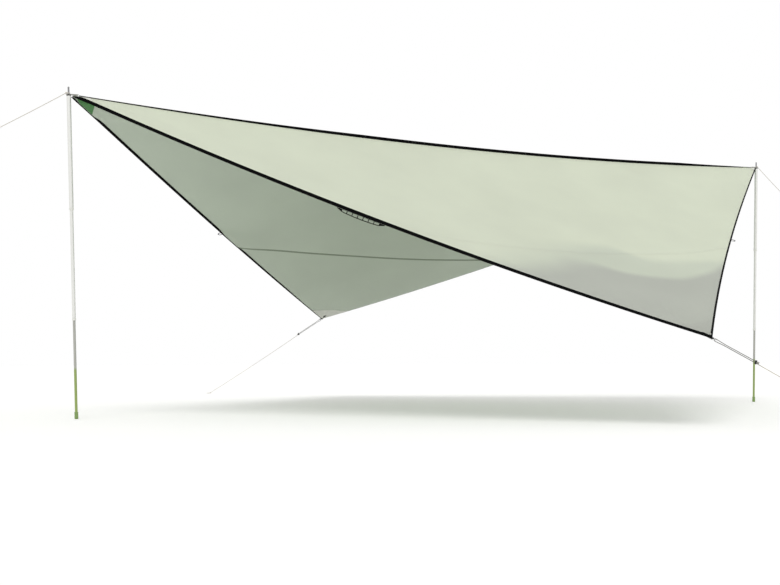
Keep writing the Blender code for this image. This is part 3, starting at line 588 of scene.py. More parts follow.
def column_reaches(room):
    """Distances of the first columns of cloth from an edge, drawn together where a row is short."""
    last = HEM_REACHES[-1]
    if room >= last:
        return HEM_REACHES
    if room > 2 * HEM_WIDTH:
        squeeze = (room - HEM_WIDTH) / (last - HEM_WIDTH)
        return [r if r <= HEM_WIDTH else HEM_WIDTH + (r - HEM_WIDTH) * squeeze for r in HEM_REACHES]
    return [r * room / last for r in HEM_REACHES]


def evenly(start, stop, step):
    """Values about a step apart, from start up to but without stop."""
    count = max(1, round((stop - start) / step))
    return [start + (stop - start) * i / count for i in range(count)]


def pole_matrix(end):
    """Frame of a pole: its origin on the ground at the foot, its Z axis up the pole to the eyelet."""
    foot = Vector((END_SIGN[end] * (HALF - POLE_LEAN), RIDGE_Y, 0.0))
    eyelet = Vector((END_SIGN[end] * HALF, RIDGE_Y, EYELET_HEIGHT))
    axis = (eyelet - foot).normalized()
    return axes_matrix(LEVEL.cross(axis), LEVEL, axis, foot)


def edge_place(side, end):
    """The place of the loop on an edge, and the direction of the edge there."""
    ahead = edge_point(side, end, LOOP_SHARE + 0.01) - edge_point(side, end, LOOP_SHARE - 0.01)
    return edge_point(side, end, LOOP_SHARE), ahead.normalized()


def strap_depth(along):
    """How far the strap's lower edge hangs at a distance from the strap's middle."""
    fullness = max(0.0, math.cos(math.pi * along / STRAP_LENGTH)) ** STRAP_FULLNESS
    outer = (STRAP_LOOPS * STRAP_PITCH - STRAP_BAR) / 2
    left_over = min(1.0, (STRAP_LENGTH / 2 - abs(along)) / (STRAP_LENGTH / 2 - outer))
    return STRAP_END_DEPTH + (STRAP_TOP_BAND - STRAP_END_DEPTH + STRAP_DROP * fullness) * left_over


def corner_axes(side):
    """Origin and axes of a low corner: across, outwards down the slope, and square to the cloth."""
    tip = edge_point(side, "left", 1.0)
    outward = (tip - cloth_point(side, 0.5, 1.0 - CORNER_TAB_LENGTH / HALF)).normalized()
    across = Vector((1.0, 0.0, 0.0))
    normal = across.cross(outward)
    return tip, across, outward, normal if normal.z > 0 else -normal


# Materials.


def node(tree, kind, inputs=None, **settings):
    """Add a node with its settings. An input that is a socket is linked, and any other is set."""
    made = tree.nodes.new("ShaderNode" + kind)
    for key, value in settings.items():
        setattr(made, key, value)
    for key, value in (inputs or {}).items():
        if isinstance(value, bpy.types.NodeSocket):
            tree.links.new(value, made.inputs[key])
        else:
            made.inputs[key].default_value = value
    return made


def maths(tree, operation, *values):
    """Result of one operation on sockets and numbers."""
    return node(tree, "Math", dict(enumerate(values)), operation=operation).outputs[0]


def ranged(tree, value, low, high, to_low=0.0, to_high=1.0, **settings):
    """A value carried over from one range to another, and kept inside it."""
    inputs = {"Value": value, "From Min": low, "From Max": high, "To Min": to_low, "To Max": to_high}
    return node(tree, "MapRange", inputs, **settings).outputs[0]


def mixed(tree, share, first, second):
    """A colour between two colours."""
    return node(tree, "Mix", {0: share, 6: first, 7: second}, data_type="RGBA").outputs[2]


def rgba(value):
    """A colour with its alpha."""
    return (*value, 1.0)


def shaded(tree, share, base, factor):
    """A colour that turns darker by a factor as the share rises."""
    return mixed(tree, share, rgba(base), rgba([c * factor for c in base]))


def clouds(tree, place, scale, detail, **inputs):
    """Noise over a place."""
    return node(tree, "TexNoise", {"Vector": place, "Scale": scale, "Detail": detail, **inputs}).outputs["Fac"]


def waves(tree, place, way, scale, distortion):
    """Even bands over a place."""
    inputs = {"Vector": place, "Scale": scale, "Distortion": distortion}
    return node(tree, "TexWave", inputs, bands_direction=way).outputs["Fac"]


def bumped(tree, height, strength, distance, **inputs):
    """Normal of a surface that is raised by a height."""
    inputs = {"Height": height, "Strength": strength, "Distance": distance, **inputs}
    return node(tree, "Bump", inputs).outputs["Normal"]


def uv_place(tree):
    """Place on the piece's own UV, in metres."""
    return node(tree, "UVMap", uv_map="UVMap").outputs["UV"]


def object_place(tree):
    """Place in the object's coordinates."""
    return node(tree, "TexCoord").outputs["Object"]


def axes_of(tree, place):
    """X, Y and Z of a place."""
    return node(tree, "SeparateXYZ", {0: place}).outputs


def blank(name):
    """A new material with only its output left, and its node tree."""
    made = bpy.data.materials.new(name)
    made.use_nodes = True
    made.node_tree.nodes.remove(made.node_tree.nodes["Principled BSDF"])
    return made, made.node_tree


def show(made, shader):
    """The material with a shader on its output."""
    tree = made.node_tree
    tree.links.new(shader.outputs[0], tree.nodes["Material Output"].inputs["Surface"])
    return made


def surface(made, inputs):
    """The material with a plain shader of these inputs."""
    return show(made, node(made.node_tree, "BsdfPrincipled", inputs))


def painted_shade_start(tree, along, places):
    """Fall at which a step of painted shade starts, for each distance along the ridge, through a few places."""
    low, high = -1.0, 1.2
    curve = node(tree, "FloatCurve", {"Value": ranged(tree, along, low, high)})
    points = curve.mapping.curves[0].points
    for _ in places[2:]:
        points.new(0.5, 0.5)
    for point, (x, fall) in zip(points, places):
        point.location = ((x - low) / (high - low), fall - PAINTED_SHADE_FROM)
    curve.mapping.update()
    return curve.outputs[0]


def paint_low_shade(tree, uv, base, cloth):
    """The cloth's colour with painted shade low on the front slope: it turns greyer there in two steps, each with
    a wavy start.
    """
    along, down, _ = axes_of(tree, uv)
    fall = maths(tree, "MULTIPLY_ADD", down, -1.0, -PAINTED_SHADE_FROM)
    softness = ranged(tree, along, -0.35, 0.25, 0.16, 0.055, interpolation_type="SMOOTHSTEP")
    base_with_any_painted_shade = rgba(base)
    for painted_shade_grey, places, width in ((cloth.light_painted_shade, FIRST_PAINTED_SHADE, 1.6), (cloth.lower, SECOND_PAINTED_SHADE, 1.0)):
        below = maths(tree, "SUBTRACT", fall, painted_shade_start(tree, along, places))
        wide = maths(tree, "MULTIPLY", softness, width)
        narrow = maths(tree, "MULTIPLY", wide, -1.0)
        share = ranged(tree, below, narrow, wide, interpolation_type="SMOOTHSTEP")
        base_with_any_painted_shade = mixed(tree, share, base_with_any_painted_shade, rgba(painted_shade_grey))
    return base_with_any_painted_shade


def coated_polyester(name, base, cloth, with_low_painted_shade):
    """Coated polyester: a pale, smooth satin with a faint weave that lets some daylight through."""
    made, tree = blank(name)
    uv = uv_place(tree)
    # Where asked, painted shade turns the front slope greyer low down.
    base_with_any_painted_shade = paint_low_shade(tree, uv, base, cloth) if with_low_painted_shade else base
    # Cloudy tone of a dyed cloth, about half a metre across.
    tone = ranged(tree, clouds(tree, uv, 1.6, 3.0), 0.3, 0.7, 0.97, 1.03)
    toned = node(tree, "VectorMath", {0: base_with_any_painted_shade, "Scale": tone}, operation="SCALE").outputs[0]
    # Threads 0.5 mm apart can't show, so the weave is drawn 4 mm wide and very low.
    weave = maths(tree, "ADD", waves(tree, uv, "X", 40.0, 0.6), waves(tree, uv, "Y", 40.0, 0.6))
    creases = clouds(tree, uv, 9.0, 4.0, Distortion=1.2)
    bump = bumped(tree, creases, 0.25, 0.002, Normal=bumped(tree, weave, 0.12, 0.0002))
    satin = node(tree, "BsdfPrincipled",
                 {"Base Color": toned, "Normal": bump, "Roughness": 0.52, "Sheen Weight": 0.15})
    through = node(tree, "BsdfTranslucent", {"Color": toned, "Normal": bump})
    return show(made, node(tree, "MixShader", {0: 0.30, 1: satin.outputs[0], 2: through.outputs[0]}))


def woven(name, code, thread, stitch_rows=()):
    """Woven tape or webbing: matt ribs across it, and stitching along it where rows are given."""
    made, tree = blank(name)
    uv = uv_place(tree)
    along, across, _ = axes_of(tree, uv)
    dusty = rgba([min(1.0, c * 1.25 + 0.001) for c in code])
    base = mixed(tree, clouds(tree, uv, 60.0, 3.0), rgba(code), dusty)
    height = waves(tree, uv, "DIAGONAL", 1.0 / (thread * 2.0 * math.pi), 0.4)
    for row in stitch_rows:
        # A groove half a millimetre wide, in 4 mm stitches.
        away = maths(tree, "ABSOLUTE", maths(tree, "SUBTRACT", across, row))
        line = ranged(tree, away, 0.0009, 0.0004)
        dash = maths(tree, "GREATER_THAN", maths(tree, "PINGPONG", along, 0.002), 0.0006)
        height = maths(tree, "MULTIPLY_ADD", maths(tree, "MULTIPLY", line, dash), 2.0, height)
    return surface(made, {"Base Color": base, "Roughness": 0.9, "Specular IOR Level": 0.04,
                          "Normal": bumped(tree, height, 0.5, 0.0004)})


def patch_cloth(name, code):
    """Uncoated polyester of the doubling patches: flat colour with a soft weave."""
    made, tree = blank(name)
    uv = uv_place(tree)
    weave = node(tree, "TexChecker", {"Vector": uv, "Scale": 500.0}).outputs["Fac"]
    return surface(made, {"Base Color": shaded(tree, clouds(tree, uv, 14.0, 3.0), code, 0.72), "Roughness": 0.7,
                          "Sheen Weight": 0.2, "Normal": bumped(tree, weave, 0.2, 0.0002)})


def drawn_lines(tree, place):
    """Fine lengthwise streaks of drawn metal."""
    stretch = node(tree, "Mapping", {"Vector": place, "Scale": (900.0, 900.0, 6.0)})
    return clouds(tree, stretch.outputs[0], 1.0, 2.0)


def metal(name, code, rough, metallic, streak):
    """Drawn or plated metal: fine lengthwise streaks break up its shine."""
    made, tree = blank(name)
    lines = drawn_lines(tree, object_place(tree))
    return surface(made, {"Base Color": shaded(tree, lines, code, 0.86), "Metallic": metallic,
                          "Roughness": ranged(tree, lines, 0.0, 1.0, rough - streak, rough + streak)})


def enamelled_tube(name, pole):
    """Drawn aluminium whose lower end has a painted green reflection of grass, thinning out towards its top."""
    made, tree = blank(name)
    place = object_place(tree)
    x, _, z = axes_of(tree, place)
    lines = drawn_lines(tree, place)
    # The painted reflection of grass reaches 0.30 m up the left pole and 0.35 m up the right one.
    top = ranged(tree, x, -2.8, 2.8, 0.300, 0.352)
    above = maths(tree, "SUBTRACT", maths(tree, "MULTIPLY_ADD", lines, 0.03, z), top)
    reflection_share = ranged(tree, above, 0.022, 0.004)
    base = mixed(tree, reflection_share, shaded(tree, lines, pole.bare, 0.86), shaded(tree, lines, pole.enamel, 0.75))
    return surface(made, {"Base Color": base, "Roughness": 0.42,
                          "Metallic": ranged(tree, reflection_share, 0.0, 1.0, 0.55, 0.0)})


def moulded(name, code, rough):
    """Moulded nylon or rubber: even colour with a fine grain."""
    made, tree = blank(name)
    grain = clouds(tree, object_place(tree), 900.0, 2.0)
    return surface(made, {"Base Color": shaded(tree, grain, code, 0.85), "Roughness": rough,
                          "Normal": bumped(tree, grain, 0.15, 0.0002)})


def braid(name, colours, fade=(0.0, 1.0)):
    """Braided cord: two crossing spirals of strands about a millimetre wide, with painted shade in the grooves
    between them. It may change colour along Y.
    """
    made, tree = blank(name)
    along, around, _ = axes_of(tree, uv_place(tree))
    strands = [maths(tree, "PINGPONG", maths(tree, "MULTIPLY_ADD", around, lean, along), STRAND_WIDTH)
               for lean in (1.0, -1.0)]
    raised = ranged(tree, maths(tree, "MAXIMUM", *strands), 0.0, STRAND_WIDTH)
    # The grooves between the strands are painted at 0.6 of the colour: painted shade.
    tones = [mixed(tree, raised, rgba([c * 0.6 for c in code]), rgba(code)) for code in colours]
    base = tones[0]
    if len(tones) > 1:
        base = mixed(tree, ranged(tree, axes_of(tree, object_place(tree))[1], *fade), *tones)
    return surface(made, {"Base Color": base, "Roughness": 0.75, "Sheen Weight": 0.15,
                          "Normal": bumped(tree, raised, 0.6, 0.0004)})


def shared(make, name, *details):
    """The material of a name, made the first time that it is asked for."""
    return bpy.data.materials.get(name) or make(name, *details)


def black_nylon():
    """Black nylon of the plugs, lock studs and sliders."""
    return shared(moulded, "black_nylon", srgb("#1B1B1C"), 0.5)


# Operators.


class TARP_OT_cloth(bpy.types.Operator):
    """Cloth of both slopes in one sheet, pinched up along the ridge, with its seams, hems, waves and folds"""
    bl_idname = "tarp.cloth"
    bl_label = "Cloth"

    def execute(self, context):
        cloth = context.scene.tarp_cloth
        last = HALF - 0.012
        falls = [RIDGE_GAP, 0.004] + evenly(0.012, 0.192, 0.012) + evenly(0.192, last - 0.24, 0.036)
        falls += evenly(last - 0.24, last, 0.012) + [last]
        felled = [SEAM_DISTANCE + step for step in (-0.0085, -0.0065, 0.0065, 0.0085)]
        falls = sorted([f for f in falls if abs(f - SEAM_DISTANCE) > 0.014] + felled)
        rows = [("back", f, False) for f in reversed(falls)]
        rows += [("back", RIDGE_GAP, True), ("front", RIDGE_GAP, True)]
        rows += [("front", f, False) for f in falls]
        near = len(HEM_REACHES)
        count = 2 * near + 88

        def place(column, row):
            side, fall, standing = row
            down = fall / HALF
            half_reach = row_width(side, down) / math.sqrt(8.0)
            start = max(0.0, CLOTH_END_CUT - fall) / math.sqrt(2.0)
            reaches = column_reaches(0.8 * (half_reach - start))
            if column < near:
                across = (start + reaches[column]) / (2 * half_reach)
            elif column >= count - near:
                across = 1.0 - (start + reaches[count - 1 - column]) / (2 * half_reach)
            else:
                first = (start + reaches[-1]) / (2 * half_reach)
                across = first + (1.0 - 2 * first) * (column - near + 1) / (count - 2 * near + 1)
            raised = 0.0004 if abs(fall - SEAM_DISTANCE) < 0.007 else 0.0
            along, _ = flat_place(across, down)
            point = over_cloth(side, across, down, raised, cloth)
            if standing:
                sewn = smoothstep(RIDGE_END_CUT - 0.002, RIDGE_END_CUT + 0.004, HALF - abs(along))
                height = (ridge_seam_height(across) - 0.0018) * sewn
                point += UP * max(0.0, height) + LEVEL * ridge_lean(across) * sewn
            return point, (along, fall * SLOPE_SIGN[side])

        obj = grid_sheet(list(range(count)), rows, place, cloth.cloth_thickness)
        # The outer face carries the painted shade low on the front slope.
        outside = shared(coated_polyester, "coated_polyester", cloth.outside, cloth, True)
        dress(obj, "canopy_cloth", outside,
              "front_upper_cloth front_lower_cloth back_upper_cloth back_lower_cloth", smooth=60.0)
        # The inner face takes a darker copy of the cloth: painted shade under it.
        inside = shared(coated_polyester, "coated_polyester_inside", cloth.inside, cloth, False)
        obj.data.materials.append(inside)
        # Faces that look up take the outer cloth, and faces that look down take the darker, painted shade copy.
        for polygon in obj.data.polygons:
            polygon.material_index = 0 if polygon.normal.z > 0 else 1
        return {"FINISHED"}


class TARP_OT_tapes(bpy.types.Operator):
    """Bindings folded over the four edges and over the standing ridge seam, and the tapes under the seams"""
    bl_idname = "tarp.tapes"
    bl_label = "Tapes"

    def execute(self, context):
        cloth = context.scene.tarp_cloth
        black = shared(woven, "polyester_binding", cloth.tape, 0.0016, (0.0045,))
        green = shared(woven, "polyester_seam_tape", cloth.seam, 0.0016, (-0.0085, 0.0085))
        cover = cloth.cloth_thickness / 2 + cloth.tape_thickness / 2 + 0.0002
        for side in SIDES:
            for end in ENDS:
                self.edge(side, end, cloth, cover + (0.0006 if end == "left" else 0.0), black)
            self.seam(side, cloth, cover, green)
        self.ridge(cloth, RIDGE_GAP + cover, black)
        return {"FINISHED"}

    def edge(self, side, end, cloth, rise, material):
        """Binding folded over one edge, on the hem's outer and inner face."""
        wide = cloth.binding_width
        insets = (wide, wide * 0.66, wide * 0.33)
        section = [(inset, rise) for inset in insets]
        section += [(rise - rise * math.cos(a), rise * math.sin(a)) for a in spaced(math.pi / 2, -math.pi / 2, 6)]
        section += [(inset, -rise) for inset in reversed(insets)]

        def place(point, down):
            inset = inset_share(side, down, min(point[0], (1.0 - down) * SIDE * 0.95, down * SIDE * 0.62))
            across = inset if end == "left" else 1.0 - inset
            return over_cloth(side, across, down, point[1], cloth), (down * SIDE, wide - point[0])

        rows = spaced(BINDING_START / SIDE, 1.0 - BINDING_STOP / SIDE, 150)
        obj = grid_sheet(section, rows, place, cloth.tape_thickness)
        dress(obj, f"{side}_{end}_binding", material, f"{side}_{end}_edge_binding", smooth=50.0)

    def seam(self, side, cloth, cover, material):
        """Tape along a seam, under the cloth."""

        def place(offset, share):
            down = (SEAM_DISTANCE + offset) / HALF
            across = between_hems(side, down, share, HEM_WIDTH + 0.001)
            return over_cloth(side, across, down, -cover, cloth), (share * row_width(side, down), offset)

        half_width = cloth.seam_width / 2
        obj = grid_sheet(spaced(-half_width, half_width, 3), spaced(0.0, 1.0, 90), place, cloth.tape_thickness)
        dress(obj, f"{side}_seam_strip", material, f"{side}_seam_tape", smooth=50.0)

    def ridge(self, cloth, reach, material):
        """Binding folded over the standing seam along the ridge."""
        section = [(-reach, 0.0, 0.0), (-reach, 0.5, 0.0)]
        section += [(reach * math.cos(a), 1.0, reach * (math.sin(a) - 1.0)) for a in spaced(math.pi, 0.0, 6)]
        section += [(reach, 0.5, 0.0), (reach, 0.0, 0.0)]
        first = RIDGE_END_CUT / (2 * HALF)

        def place(corner, share):
            offset, high, drop = corner
            height = -0.0003 + (ridge_seam_height(share) + 0.0003) * high + drop
            spot = cloth_point("front", share, 0.0) + Vector((0.0, offset + ridge_lean(share) * high, height))
            return spot, (share * 2 * HALF, height - 0.004)

        obj = grid_sheet(section, spaced(first, 1.0 - first, 160), place, cloth.tape_thickness)
        dress(obj, "ridge_binding", material, "ridge_tape", smooth=50.0)


class TARP_OT_patches(bpy.types.Operator):
    """Doubling patches under and over the ridge's ends and under the low corners"""
    bl_idname = "tarp.patches"
    bl_label = "Patches"

    def execute(self, context):
        cloth = context.scene.tarp_cloth
        green = shared(patch_cloth, "green_polyester_patch", cloth.patch)
        pale = shared(patch_cloth, "pale_polyester_patch", srgb("#E9EBE0"))
        gap = cloth.cloth_thickness / 2 + 0.0009
        for end in ENDS:
            under = self.end_sheet(end, END_PATCH, -gap, cloth)
            dress(under, f"{end}_end_doubling", green, f"{end}_end_patch", smooth=60.0)
            over = self.end_sheet(end, END_FACING, gap, cloth)
            dress(over, f"{end}_end_facing", pale, smooth=60.0)
        for side in SIDES:
            self.corner_sheet(side, gap, cloth, pale)
        return {"FINISHED"}

    def end_sheet(self, end, reach, rise, cloth):
        """Patch folded along the ridge at one end, up to the bindings' inner edges."""

        def place(share, station):
            x = END_SIGN[end] * (HALF - station)
            if abs(share) < 0.0001:
                return ridge_fold(x, rise, cloth), (station, 0.0)
            side = "front" if share < 0 else "back"
            fall = abs(share) * max(0.002, station - HEM_WIDTH * math.sqrt(2.0) - 0.003)
            down = fall / HALF
            return over_cloth(side, across_at(x, down), down, rise, cloth), (station, fall * SLOPE_SIGN[side])

        return grid_sheet(spaced(-1.0, 1.0, 24), spaced(*reach, 22), place, PATCH_THICKNESS)

    def corner_sheet(self, side, gap, cloth, material):
        """Patch under a low corner."""

        def place(share, down):
            across = between_hems(side, down, share, HEM_WIDTH + 0.002)
            return over_cloth(side, across, down, -gap, cloth), flat_place(across, down)

        rows = spaced(1.0 - CORNER_PATCH[0] / HALF, 1.0 - CORNER_PATCH[1] / HALF, 22)
        obj = grid_sheet(spaced(0.0, 1.0, 16), rows, place, PATCH_THICKNESS)
        dress(obj, f"{side}_corner_doubling", material, f"{side}_corner_patch", smooth=60.0)


class TARP_OT_corners(bpy.types.Operator):
    """Webbing tabs and wire rings at the low corners"""
    bl_idname = "tarp.corners"
    bl_label = "Corner tabs and rings"

    def execute(self, context):
        webbing = shared(woven, "polyester_webbing", srgb("#0E0E10"), 0.0022, (-0.0075, 0.0075))
        wire = shared(metal, "steel_wire", srgb("#BDBDBC"), 0.28, 1.0, 0.05)
        for side in SIDES:
            self.tab(side, webbing)
            self.ring(side, wire)
        return {"FINISHED"}

    def tab(self, side, webbing):
        """Webbing folded round the ring's near side."""
        tip, across, outward, normal = corner_axes(side)
        length, rise = CORNER_TAB_LENGTH, CORNER_TAB_RISE
        section = [(x, rise) for x in spaced(-length, 0.0, 10)[:-1]]
        section += [(rise * math.cos(a), rise * math.sin(a)) for a in spaced(math.pi / 2, -math.pi / 2, 12)]
        section += [(x, -rise) for x in spaced(0.0, -length, 10)[1:]]

        def place(item, offset):
            (reach, height), far = item
            return tip + across * offset + outward * reach + normal * height, (far, offset)

        offsets = spaced(-CORNER_TAB_HALF, CORNER_TAB_HALF, 4)
        obj = grid_sheet(list(zip(section, travelled(section))), offsets, place, WEBBING_THICKNESS)
        modify(obj, "BEVEL", width=0.0003, segments=2, limit_method="ANGLE", angle_limit=math.radians(60.0))
        dress(obj, f"{side}_corner_webbing", webbing, f"{side}_corner_tab", smooth=50.0)

    def ring(self, side, wire):
        """Rectangular ring of bent wire."""
        tip, across, outward, normal = corner_axes(side)
        deselect()
        bpy.ops.mesh.primitive_plane_add(size=1.0)
        bpy.context.object.scale = RING_SIZE
        bpy.ops.object.transform_apply(scale=True)
        bpy.ops.object.mode_set(mode="EDIT")
        bpy.ops.mesh.select_all(action="SELECT")
        bpy.ops.mesh.bevel(offset=0.007, segments=8, affect="VERTICES")
        bpy.ops.mesh.delete(type="ONLY_FACE")
        bpy.ops.object.mode_set(mode="OBJECT")
        bpy.ops.object.convert(target="CURVE")
        bpy.context.object.data.bevel_depth = RING_WIRE_RADIUS
        bpy.context.object.data.bevel_resolution = 5
        bpy.ops.object.convert(target="MESH")
        ring = bpy.context.object
        square = normal if across.cross(outward).dot(normal) > 0 else -normal
        settle(ring, axes_matrix(across, outward, square, tip + outward * RING_SIZE[1] / 2))
        recalculate(ring)
        dress(ring, f"{side}_corner_dee", wire, f"{side}_corner_ring", smooth=60.0)


class TARP_OT_eyelets(bpy.types.Operator):
    """Webbing tabs at the ridge's ends with their two-part grommets"""
    bl_idname = "tarp.eyelets"
    bl_label = "Eyelets"

    def execute(self, context):
        webbing = shared(woven, "pale_webbing", srgb("#CDCDC6"), 0.0022, (-0.012, 0.012))
        nickel = shared(metal, "nickel_plate", srgb("#C9C4BA"), 0.25, 1.0, 0.06)
        inner, wall, rim, top, lip = 0.0065, 0.0080, 0.0115, GROMMET_TOP, 0.0004
        profile = [(inner, lip - top), (inner + 0.0005, -top), (rim - 0.0009, -top), (rim, lip - top),
                   (rim, GROMMET_FLANGE - top), (wall, GROMMET_FLANGE - top), (wall, top - GROMMET_FLANGE),
                   (rim, top - GROMMET_FLANGE), (rim, top - lip), (rim - 0.0010, top), (wall + lip, top + 0.0002),
                   (inner + 0.0005, top), (inner, top - lip), (inner, lip - top)]
        for end in ENDS:
            place = pole_matrix(end) @ Matrix.Translation((0.0, 0.0, POLE_LENGTH))
            tab = self.tab(-END_SIGN[end] * EYELET_TAB_MIDDLE)
            settle(tab, place)
            dress(tab, f"{end}_eyelet_webbing", webbing, f"{end}_eyelet_tab", smooth=50.0)
            grommet = turned(profile, place, TURNED_SIDES)
            dress(grommet, f"{end}_eyelet_grommet", nickel, f"{end}_grommet")
        return {"FINISHED"}

    def tab(self, middle):
        """Webbing with round corners and a hole for the grommet."""
        tab = block(EYELET_TAB, (middle, 0.0, 0.0))
        bpy.ops.object.mode_set(mode="EDIT")
        shape = bmesh.from_edit_mesh(tab.data)
        bpy.ops.mesh.select_all(action="DESELECT")
        for edge in shape.edges:
            if abs((edge.verts[0].co - edge.verts[1].co).z) > 0.001:
                edge.select_set(True)
        bmesh.update_edit_mesh(tab.data)
        bpy.ops.mesh.bevel(offset=0.006, segments=6)
        bpy.ops.object.mode_set(mode="OBJECT")
        drill(tab, TURNED_SIDES, 0.0083, 0.02)
        modify(tab, "BEVEL", width=0.0006, segments=2, limit_method="ANGLE", angle_limit=math.radians(50.0))
        lay_uv(tab)
        return tab


class TARP_OT_loops(bpy.types.Operator):
    """Tie-out loops half way along three edges and the strap of loops under the fourth"""
    bl_idname = "tarp.loops"
    bl_label = "Tie-out loops"

    def execute(self, context):
        webbing = shared(woven, "loop_webbing", srgb("#0B0B0D"), 0.0014)
        half = [(-0.004, -0.014), (0.0074, -0.014), (0.0174, -0.0135), (0.0229, -0.0085)]
        route = half + [(0.0244, 0.0)] + [(x, -y) for x, y in reversed(half)]
        line = smooth_line([Vector((x, y, 0.0)) for x, y in route], 0.0012)
        items = []
        for i, (point, far) in enumerate(zip(line, travelled(line))):
            way = (line[min(i + 1, len(line) - 1)] - line[max(i - 1, 0)]).normalized()
            items.append((point, Vector((-way.y, way.x, 0.0)), far))
        for side, end in (("back", "left"), ("back", "right"), ("front", "right")):
            self.loop(side, end, items, webbing)
        self.strap(webbing)
        return {"FINISHED"}

    def loop(self, side, end, items, webbing):
        """Loop of webbing on an edge, along a line of points with their sideways directions and lengths."""
        centre, ahead = edge_place(side, end)
        inset = inset_share(side, LOOP_SHARE, HEM_WIDTH)
        normal = cloth_normal(side, inset if end == "left" else 1.0 - inset, LOOP_SHARE)
        outward = ahead.cross(normal).normalized()
        if outward.x * END_SIGN[end] < 0:
            outward = -outward
        square = outward.cross(ahead)

        def place(offset, item):
            point, across, far = item
            spot = point + across * offset
            lift = 0.0009 * math.cos(math.pi * offset / (2 * LOOP_HALF))
            return centre + outward * spot.x + ahead * spot.y + square * lift, (far, offset)

        obj = grid_sheet(spaced(-LOOP_HALF, LOOP_HALF, 4), items, place, LOOP_THICKNESS)
        dress(obj, f"{side}_{end}_tie_loop", webbing, f"{side}_{end}_edge_loop", smooth=60.0)

    def strap(self, material):
        """Strap slung under the front left edge, with bars that part it into loops."""
        half = STRAP_LENGTH / 2 * STRAP_SHARE
        top = 0.0014 - STRAP_START
        outlines = [[(-half, top), (half, top)] + [(x, strap_depth(x)) for x in spaced(half, -half, 48)]]
        for number in range(STRAP_LOOPS):
            middle = (number - (STRAP_LOOPS - 1) / 2) * STRAP_PITCH
            reach = (STRAP_PITCH - STRAP_BAR) / 2
            window = [(middle - reach, top + 0.0016), (middle + reach, top + 0.0016)]
            low = spaced(middle + reach, middle - reach, 8)
            outlines.append(window + [(x, strap_depth(x) - STRAP_LOW_BAND) for x in low])
        deselect()
        curve = bpy.data.curves.new("strap", "CURVE")
        curve.dimensions = "2D"
        curve.fill_mode = "BOTH"
        curve.extrude = 0.0005
        curve.bevel_depth = 0.0003
        curve.bevel_resolution = 1
        curve.offset = -0.0003
        for outline in outlines:
            spline = curve.splines.new("POLY")
            spline.points.add(len(outline) - 1)
            for target, (x, y) in zip(spline.points, outline):
                target.co = (x, y, 0.0, 1.0)
            spline.use_cyclic_u = True
        obj = bpy.data.objects.new("strap", curve)
        bpy.context.scene.collection.objects.link(obj)
        activate(obj)
        bpy.ops.object.convert(target="MESH")
        obj = bpy.context.object
        for vert in obj.data.vertices:
            vert.co.z += 0.0012 * math.sin(math.pi * vert.co.x / STRAP_PITCH) * vert.co.y / STRAP_DROP
        centre, ahead = edge_place("front", "left")
        hang = (ahead * UP.dot(ahead) - UP).normalized()
        settle(obj, axes_matrix(ahead, hang, ahead.cross(hang), centre + hang * STRAP_START))
        recalculate(obj)
        dress(obj, "hanging_loop_strap", material, "front_loop_strap")


